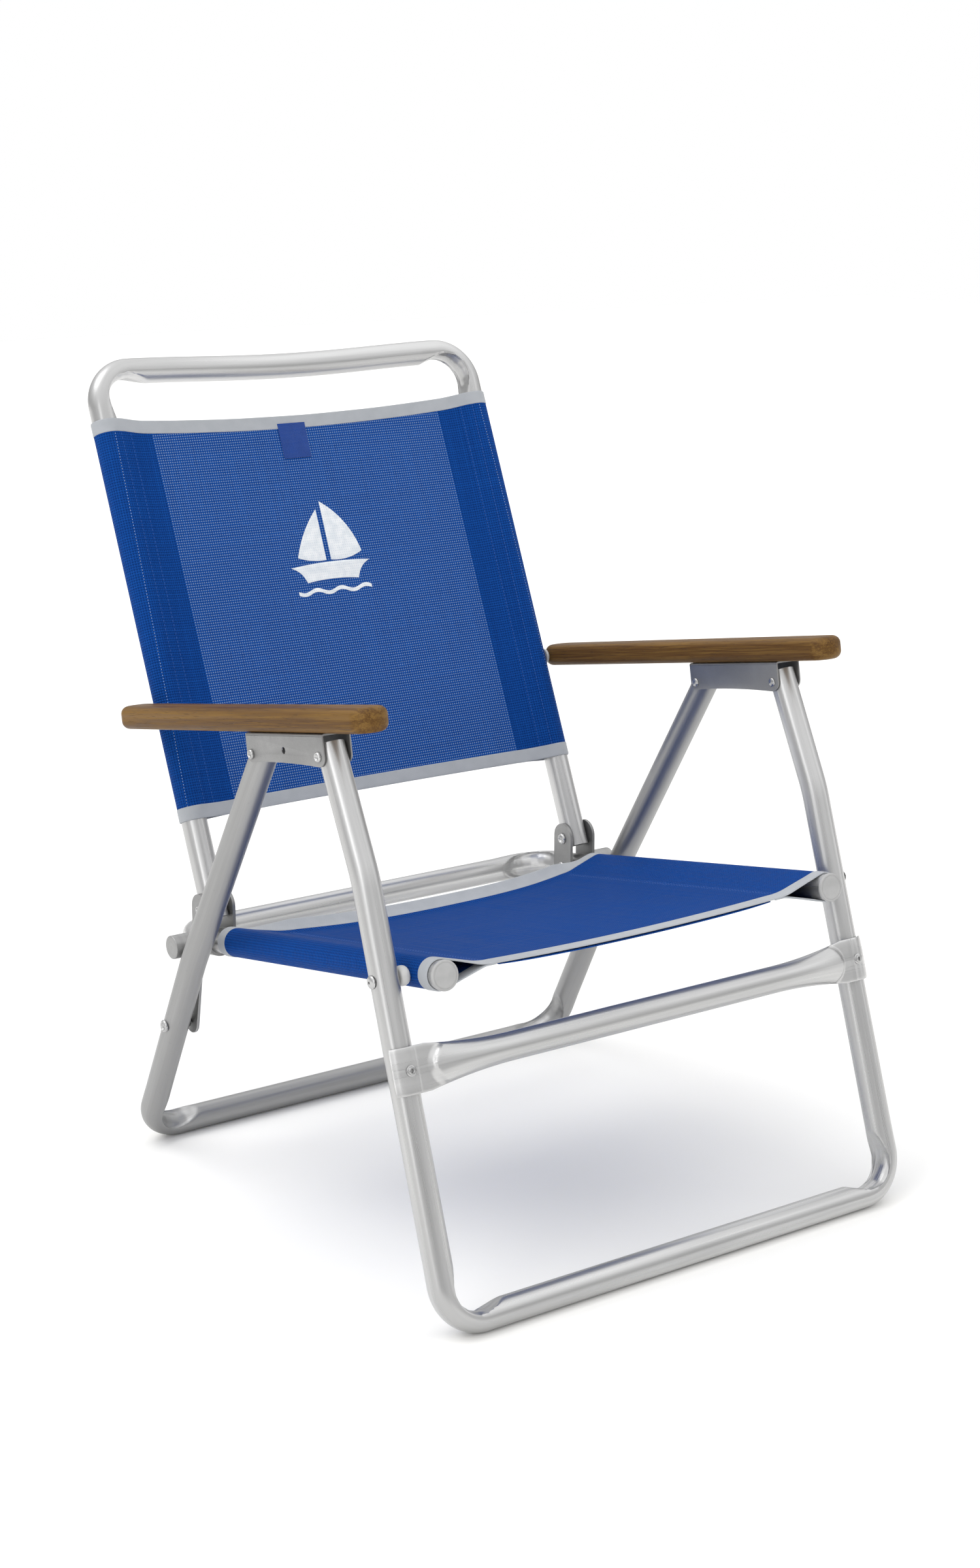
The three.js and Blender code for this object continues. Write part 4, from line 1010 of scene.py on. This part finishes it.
def add_armrests(wood, bracket, metal, white):
    half = WOOD_WIDTH / 2
    front = ARMREST_FRONT_Y / WOOD_ALONG[0] + half
    rear = ARMREST_REAR_Y / WOOD_ALONG[0] - half
    blank = arc_points((0, rear), half, 0, math.pi, 24)
    blank += arc_points((0, front), half, math.pi, 2 * math.pi, 24)
    clear = TUBE_R + SHEET + 2 * GAP
    heads = (LEG_X - clear, domed_head(0.0044, 0.0018)), (LEG_X + clear, dished_head(0.0046, 0.0020))
    ring = bulged_ring(0.008, CLOTH_FACE, WOOD_INNER_X - GAP)
    screw = [(r, -h) for r, h in reversed(domed_head(0.0038, 0.0016, 0.0012))]
    screw += [(0.0019, 0), (0.0019, 0.012), (0, 0.014)]
    for side, sign in SIDES.items():
        def flat_in_wood(u, v, w, x=sign * WOOD_X):
            return at_x(x + u, wood_point(v, w))

        arm = plate(f"armrest_wood_{side}", [blank], WOOD_THICKNESS, WOOD_EDGE, flat_in_wood, 8, 60)
        settle(arm, wood, "teak", f"armrest_{side}")
        settle(channel(f"armrest_channel_{side}", sign), bracket, "bracket", f"armrest_bracket_{side}")
        for name, pivot in (("rear", REAR_LEG_PIVOT), ("front", FRONT_LEG_PIVOT)):
            pin(side, f"bracket_rivet_{name}", f"{name}_leg_rivet", pivot, *heads, metal)
        pin(side, "armrest_axle", "armrest_bolt", ARMREST_PIVOT,
            (HOLLOW_END, FLAT_END), (WOOD_X + 0.005, FLAT_END), metal)
        turn_across(side, "armrest_washer", "armrest_spacer", ARMREST_PIVOT, ring, white, "white_plastic")
        for name, y in WEB_SCREW_Y.items():
            foot = at_x(sign * LEG_X, wood_point(y / WOOD_ALONG[0], WEB_TOP - SHEET - GAP))
            piece = turned(f"web_screw_{name}_{side}", screw, foot, at_x(0, WOOD_UP), 28)
            settle(piece, metal, "rivet", f"bracket_screw_{name}_{side}")


def bulged_ring(radius, start, end):
    """A plain spacer with softly domed edge."""
    middle, half = (start + end) / 2, (end - start) / 2
    profile = [(SPACER_BORE, start)]
    for angle in np.linspace(-math.pi / 2, math.pi / 2, 11):
        profile.append((radius - half * 0.55 * (1 - math.cos(angle)), middle + half * math.sin(angle)))
    return profile + [(SPACER_BORE, end), (SPACER_BORE, start)]


def channel(name, sign):
    """The folded sheet bracket under an armrest: two cheeks, two round bends and a web, in one mesh."""
    outline, ends = bracket_outline(WEB_TOP - SHEET_BEND)
    vent = arc_points(in_wood(VENT_AT), VENT_R, 0, 2 * math.pi, 33)[:-1]
    pieces = []
    for way, outlines in ((1, [outline, vent]), (-1, [outline])):
        def upright(u, v, w, x=sign * (LEG_X + way * CHEEK_X)):
            return at_x(x + w, wood_point(u, v))

        pieces.append(plate(f"{name}_cheek", outlines, SHEET, 0.0003, upright, 2))
    radius = SHEET_BEND - SHEET / 2
    left = arc_points((radius - CHEEK_X, WEB_TOP - SHEET_BEND), radius, math.pi, math.pi / 2, 6)
    section = left + [(-x, u) for x, u in reversed(left)]
    marks = np.linspace(*ends, 24)
    rows = np.array([[at_x(sign * LEG_X + x, wood_point(v, u)) for x, u in section] for v in marks])
    pieces.append(shell(f"{name}_web", rows, SHEET / 2, [[(v, x) for x, _ in section] for v in marks]))
    made = bmesh.new()
    for obj in pieces:
        made.from_mesh(obj.data)
        bpy.data.objects.remove(obj)
    data = bpy.data.meshes.new(name)
    made.to_mesh(data)
    made.free()
    return link(name, data)


# ---- Leg fittings ----


def add_leg_fittings(metal, white, grey):
    clear = TUBE_R + GAP
    rim = TUBE_R + 0.0008
    cap = [(0, -0.011), (0.0108, -0.011), (0.0108, 0.0003)]
    cap += [(rim - 0.0003, 0.0003), (rim, 0.0007), (rim, 0.0026)]
    cap += [(rim - 0.0010 * (1 - math.cos(a)), 0.0026 + 0.0011 * math.sin(a)) for a in (0.5, 1.0, 1.45)]
    cap += [(rim - 0.0018, 0.0036), (rim - 0.0022, 0.0033), (rim - 0.0026, 0.0036)]
    cap += [(r, 0.0038 + 0.0009 * (1 - (r / rim) ** 2)) for r in (0.0095, 0.007, 0.0035, 0)]
    ring = bulged_ring(0.009, CLOTH_FACE, LEG_X - clear)
    for side, sign in SIDES.items():
        pin(side, "leg_hinge_rivet", "seat_pivot_rivet", SEAT_PIVOT,
            (HOLLOW_END, FLAT_END), (LEG_X + clear, domed_head(0.0060, 0.0026, 0.0013)), metal)
        turn_across(side, "hinge_spacer", "seat_spacer", SEAT_PIVOT, ring, white, "white_plastic")
        pin(side, "stay_rivet", "leg_stay_rivet", STAY_FOOT,
            (LEG_X - clear, domed_head(0.0055, 0.0022)), (LEG_X + clear, dished_head(0.0062, 0.0022)), metal)
        end = at_x(sign * FRAME_X, seat_at_y(SEAT_FRONT_Y))
        piece = turned(f"arm_cap_{side}", cap, end, at_x(0, -SEAT_ALONG), 56)
        settle(piece, grey, "grey_plastic", f"seat_cap_{side}")


# ---- Stretcher ----

STRETCHER_Z = 0.222
STRETCHER_LEG = at_height(FRONT_FLOOR, FRONT_KNEE, STRETCHER_Z)
LEG_FORWARD = np.array([-FRONT_LEG_ALONG[1], FRONT_LEG_ALONG[0]])
STRETCHER_FLAT = 0.0015
STRETCHER_TALL = 0.0205
WRAP_R = TUBE_R + GAP + STRETCHER_FLAT
CRUSH_X = 0.238  # where the pressed flat begins
CRUSH_LENGTH = 0.088
CREASE_THICK = 0.0062  # half thickness left where the pressed flat cuts in
CREASE_BOW = 0.013  # how far the crease reaches inwards at its top and bottom
WRAP_ANGLE = math.pi / 3
STRETCHER_SIDES = 64
POP_HEAD = (
    (0.0050, 0), (0.0050, 0.0003), (0.0044, 0.0007), (0.0036, 0.0009), (0.0034, 0.0016),
    (0.0026, 0.0022), (0.0018, 0.0022), (0.0014, 0.0017), (0.0013, -0.0005), (0, -0.0006),
)


def add_stretcher(polished, metal):
    """A tube whose ends are pressed flat and wrapped round the legs, with sharp curved creases."""
    reach = LEG_X + WRAP_ANGLE * WRAP_R
    plain = CRUSH_X - CRUSH_LENGTH
    half = [*np.linspace(0, plain, 8), *np.arange(plain + 0.003, reach, 0.0013), reach]
    marks = [-v for v in reversed(half[1:])] + half
    angles = np.linspace(0, 2 * math.pi, STRETCHER_SIDES, endpoint=False)
    up, front = np.sin(angles), np.cos(angles)
    flat = np.sign(front) * STRETCHER_FLAT * np.abs(front) ** 0.4
    rings = []
    for s in marks:
        t = np.clip((abs(s) - plain) / CRUSH_LENGTH, 0, 1)
        thick = TUBE_R - (TUBE_R - CREASE_THICK) * t ** 2.6
        tall = TUBE_R + (STRETCHER_TALL - TUBE_R) * t ** 2
        lean = max(0.0, abs(s) - LEG_X) / WRAP_R
        x = min(abs(s), LEG_X) + WRAP_R * math.sin(lean)
        # the tube's round end meets the pressed flat in a bowed crease
        crease = abs(s) - CRUSH_X + CREASE_BOW * up ** 2
        pressed = np.sqrt(np.clip((crease + 0.005) / 0.006, 0, 1))
        swell = thick * front * (1 - pressed) + flat * pressed
        lip = 0.0007 * smooth_step((abs(s) - reach + 0.003) / 0.003)
        ridge = 0.0008 * math.exp(-(((abs(s) - LEG_X + 0.006) / 0.0013) ** 2))
        swell = swell + (lip + ridge) * (front > 0)
        ring = []
        for out, high in zip(swell, up):
            ahead = LEG_FORWARD * (WRAP_R + out) * math.cos(lean)
            point = STRETCHER_LEG + ahead + FRONT_LEG_ALONG * tall * high
            ring.append(at_x(math.copysign(x + out * math.sin(lean), s), point))
        rings.append(ring)
    girth = np.linspace(0, 2 * math.pi * TUBE_R, STRETCHER_SIDES + 1)
    piece = Piece()
    piece.grid(rings, [[(s, g) for g in girth] for s in marks], wrap=True)
    piece.fan(rings[0])
    piece.fan(rings[-1])
    settle(piece.mesh("stretcher_tube", 42), polished, "polished_tube", "stretcher")

    face = WRAP_R + STRETCHER_FLAT + GAP
    profile = [(0, TUBE_R - 0.005), (0.0019, TUBE_R - 0.005), (0.0019, face)]
    profile += [(r, face + h) for r, h in POP_HEAD]
    for side, sign in SIDES.items():
        piece = turned(f"pop_rivet_{side}", profile, at_x(sign * LEG_X, STRETCHER_LEG), at_x(0, LEG_FORWARD))
        settle(piece, metal, "rivet", f"stretcher_rivet_{side}")


# ---- Studio ----

FLOOR_HALF = 9.0
LIGHT_AIM = (0, 0, 0.4)
SUN_POWER = 0.80
SUN_SPREAD = 42  # degrees
SUN_FROM = (-0.50, 0.38, 1.0)


def area_light(name, place, size, power):
    data = bpy.data.lights.new(name, "AREA")
    data.shape = "RECTANGLE"
    data.size, data.size_y = size
    data.energy = power
    light = link(name, data)
    light.location = place
    light.rotation_euler = (Vector(LIGHT_AIM) - Vector(place)).to_track_quat("-Z", "Y").to_euler()


# rise of the room light: from and to heights of the direction, and the strengths there
ROOM_LIGHT = (-0.05, 0.80, 0.50, 1.68)


def add_studio():
    bpy.context.scene.view_settings.view_transform = "Standard"
    floor = Piece()
    floor.grid([[(x, y, 0) for x in (-FLOOR_HALF, FLOOR_HALF)] for y in (-FLOOR_HALF, FLOOR_HALF)])
    ground = floor.mesh("studio_floor")
    sh = Shader("studio_paper", Specular_IOR_Level=0.1, Roughness=0.9)
    paper = sh.mix(sh.noise(sh.coordinates(), 3.0, 2.0), (0.92, 0.915, 0.90), (0.94, 0.935, 0.92))
    sh.links.new(paper, sh.surface.inputs["Base Color"])
    ground.data.materials.append(sh.material)

    world = bpy.data.worlds.new("studio")
    bpy.context.scene.world = world
    tree = NodeTree(world)
    seen = tree.nodes["Background"]  # the white paper behind the chair
    seen.inputs["Color"].default_value = (1, 1, 1, 1)
    seen.inputs["Strength"].default_value = 1.0
    direction = tree.add("ShaderNodeTexCoord").outputs["Generated"]
    height = tree.add("ShaderNodeSeparateXYZ", {0: direction}).outputs[2]
    # what lights it: a pale room, brighter overhead
    room = tree.add("ShaderNodeBackground", {"Strength": tree.ramp(height, *ROOM_LIGHT)}).outputs[0]
    to_camera = tree.add("ShaderNodeLightPath").outputs["Is Camera Ray"]
    choice = tree.add("ShaderNodeMixShader", {0: to_camera, 1: room, 2: seen.outputs[0]}).outputs[0]
    tree.links.new(choice, tree.nodes["World Output"].inputs[0])

    sun = bpy.data.lights.new("overhead", "SUN")
    sun.energy = SUN_POWER
    sun.angle = math.radians(SUN_SPREAD)
    link("overhead", sun).rotation_euler = Vector(SUN_FROM).to_track_quat("Z", "Y").to_euler()
    area_light("left_strip", (-2.3, -1.1, 1.1), (0.7, 2.0), 8)
    area_light("right_strip", (2.1, -1.5, 1.2), (0.6, 2.0), 3)


# ---- The chair ----


def build_chair():
    polished = aluminium("polished_aluminium", 0.60, 0.45, 0.26, 0.38, 0.000018)
    satin = aluminium("satin_aluminium", 0.38, 0.32, 0.38, 0.50, 0.00005)
    sheet_metal = aluminium("bracket_aluminium", 0.32, 0.275, 0.40, 0.52, 0.00005, False)
    bright = aluminium("rivet_steel", 0.52, 0.40, 0.18, 0.34, 0.00003, False)
    meshes = {
        "back": sling_mesh("back_mesh", HEM_INNER_X["back"], (0.21, 0.32, 0.58), 0.84),
        "seat": sling_mesh("seat_mesh", HEM_INNER_X["seat"], (0.0015, 0.020, 0.115), 0.75),
    }
    tape = woven_tape("white_binding", (0.44, 0.46, 0.49), (0.34, 0.36, 0.39), 0.0009, 0.00012)
    tab = woven_tape("blue_tab", (0.003, 0.052, 0.29), (0.002, 0.034, 0.20), 0.0016, 0.00025)
    thread = woven_tape("seam_thread", (0.030, 0.11, 0.40), (0.016, 0.07, 0.29), 0.0006, 0.00005)
    # painted light: the colour of the pale dashes that stand for the lit row of holes on the back sleeves
    pale_thread = woven_tape("pale_thread", (0.34, 0.44, 0.66), (0.22, 0.32, 0.56), 0.0006, 0.00005)
    white = moulded("white_nylon", (0.58, 0.58, 0.57), (0.50, 0.50, 0.49), 0.35)
    grey = moulded("grey_polymer", 0.42, 0.37, 0.32)
    add_frames(polished, satin)
    add_marks(add_slings(meshes, tape, thread, pale_thread), tab, printed_ink("white_ink"))
    add_stays(bright, satin, sheet_metal)
    add_armrests(teak("oiled_teak"), sheet_metal, bright, white)
    add_leg_fittings(bright, white, grey)
    add_stretcher(polished, bright)


add_camera()
add_studio()
build_chair()
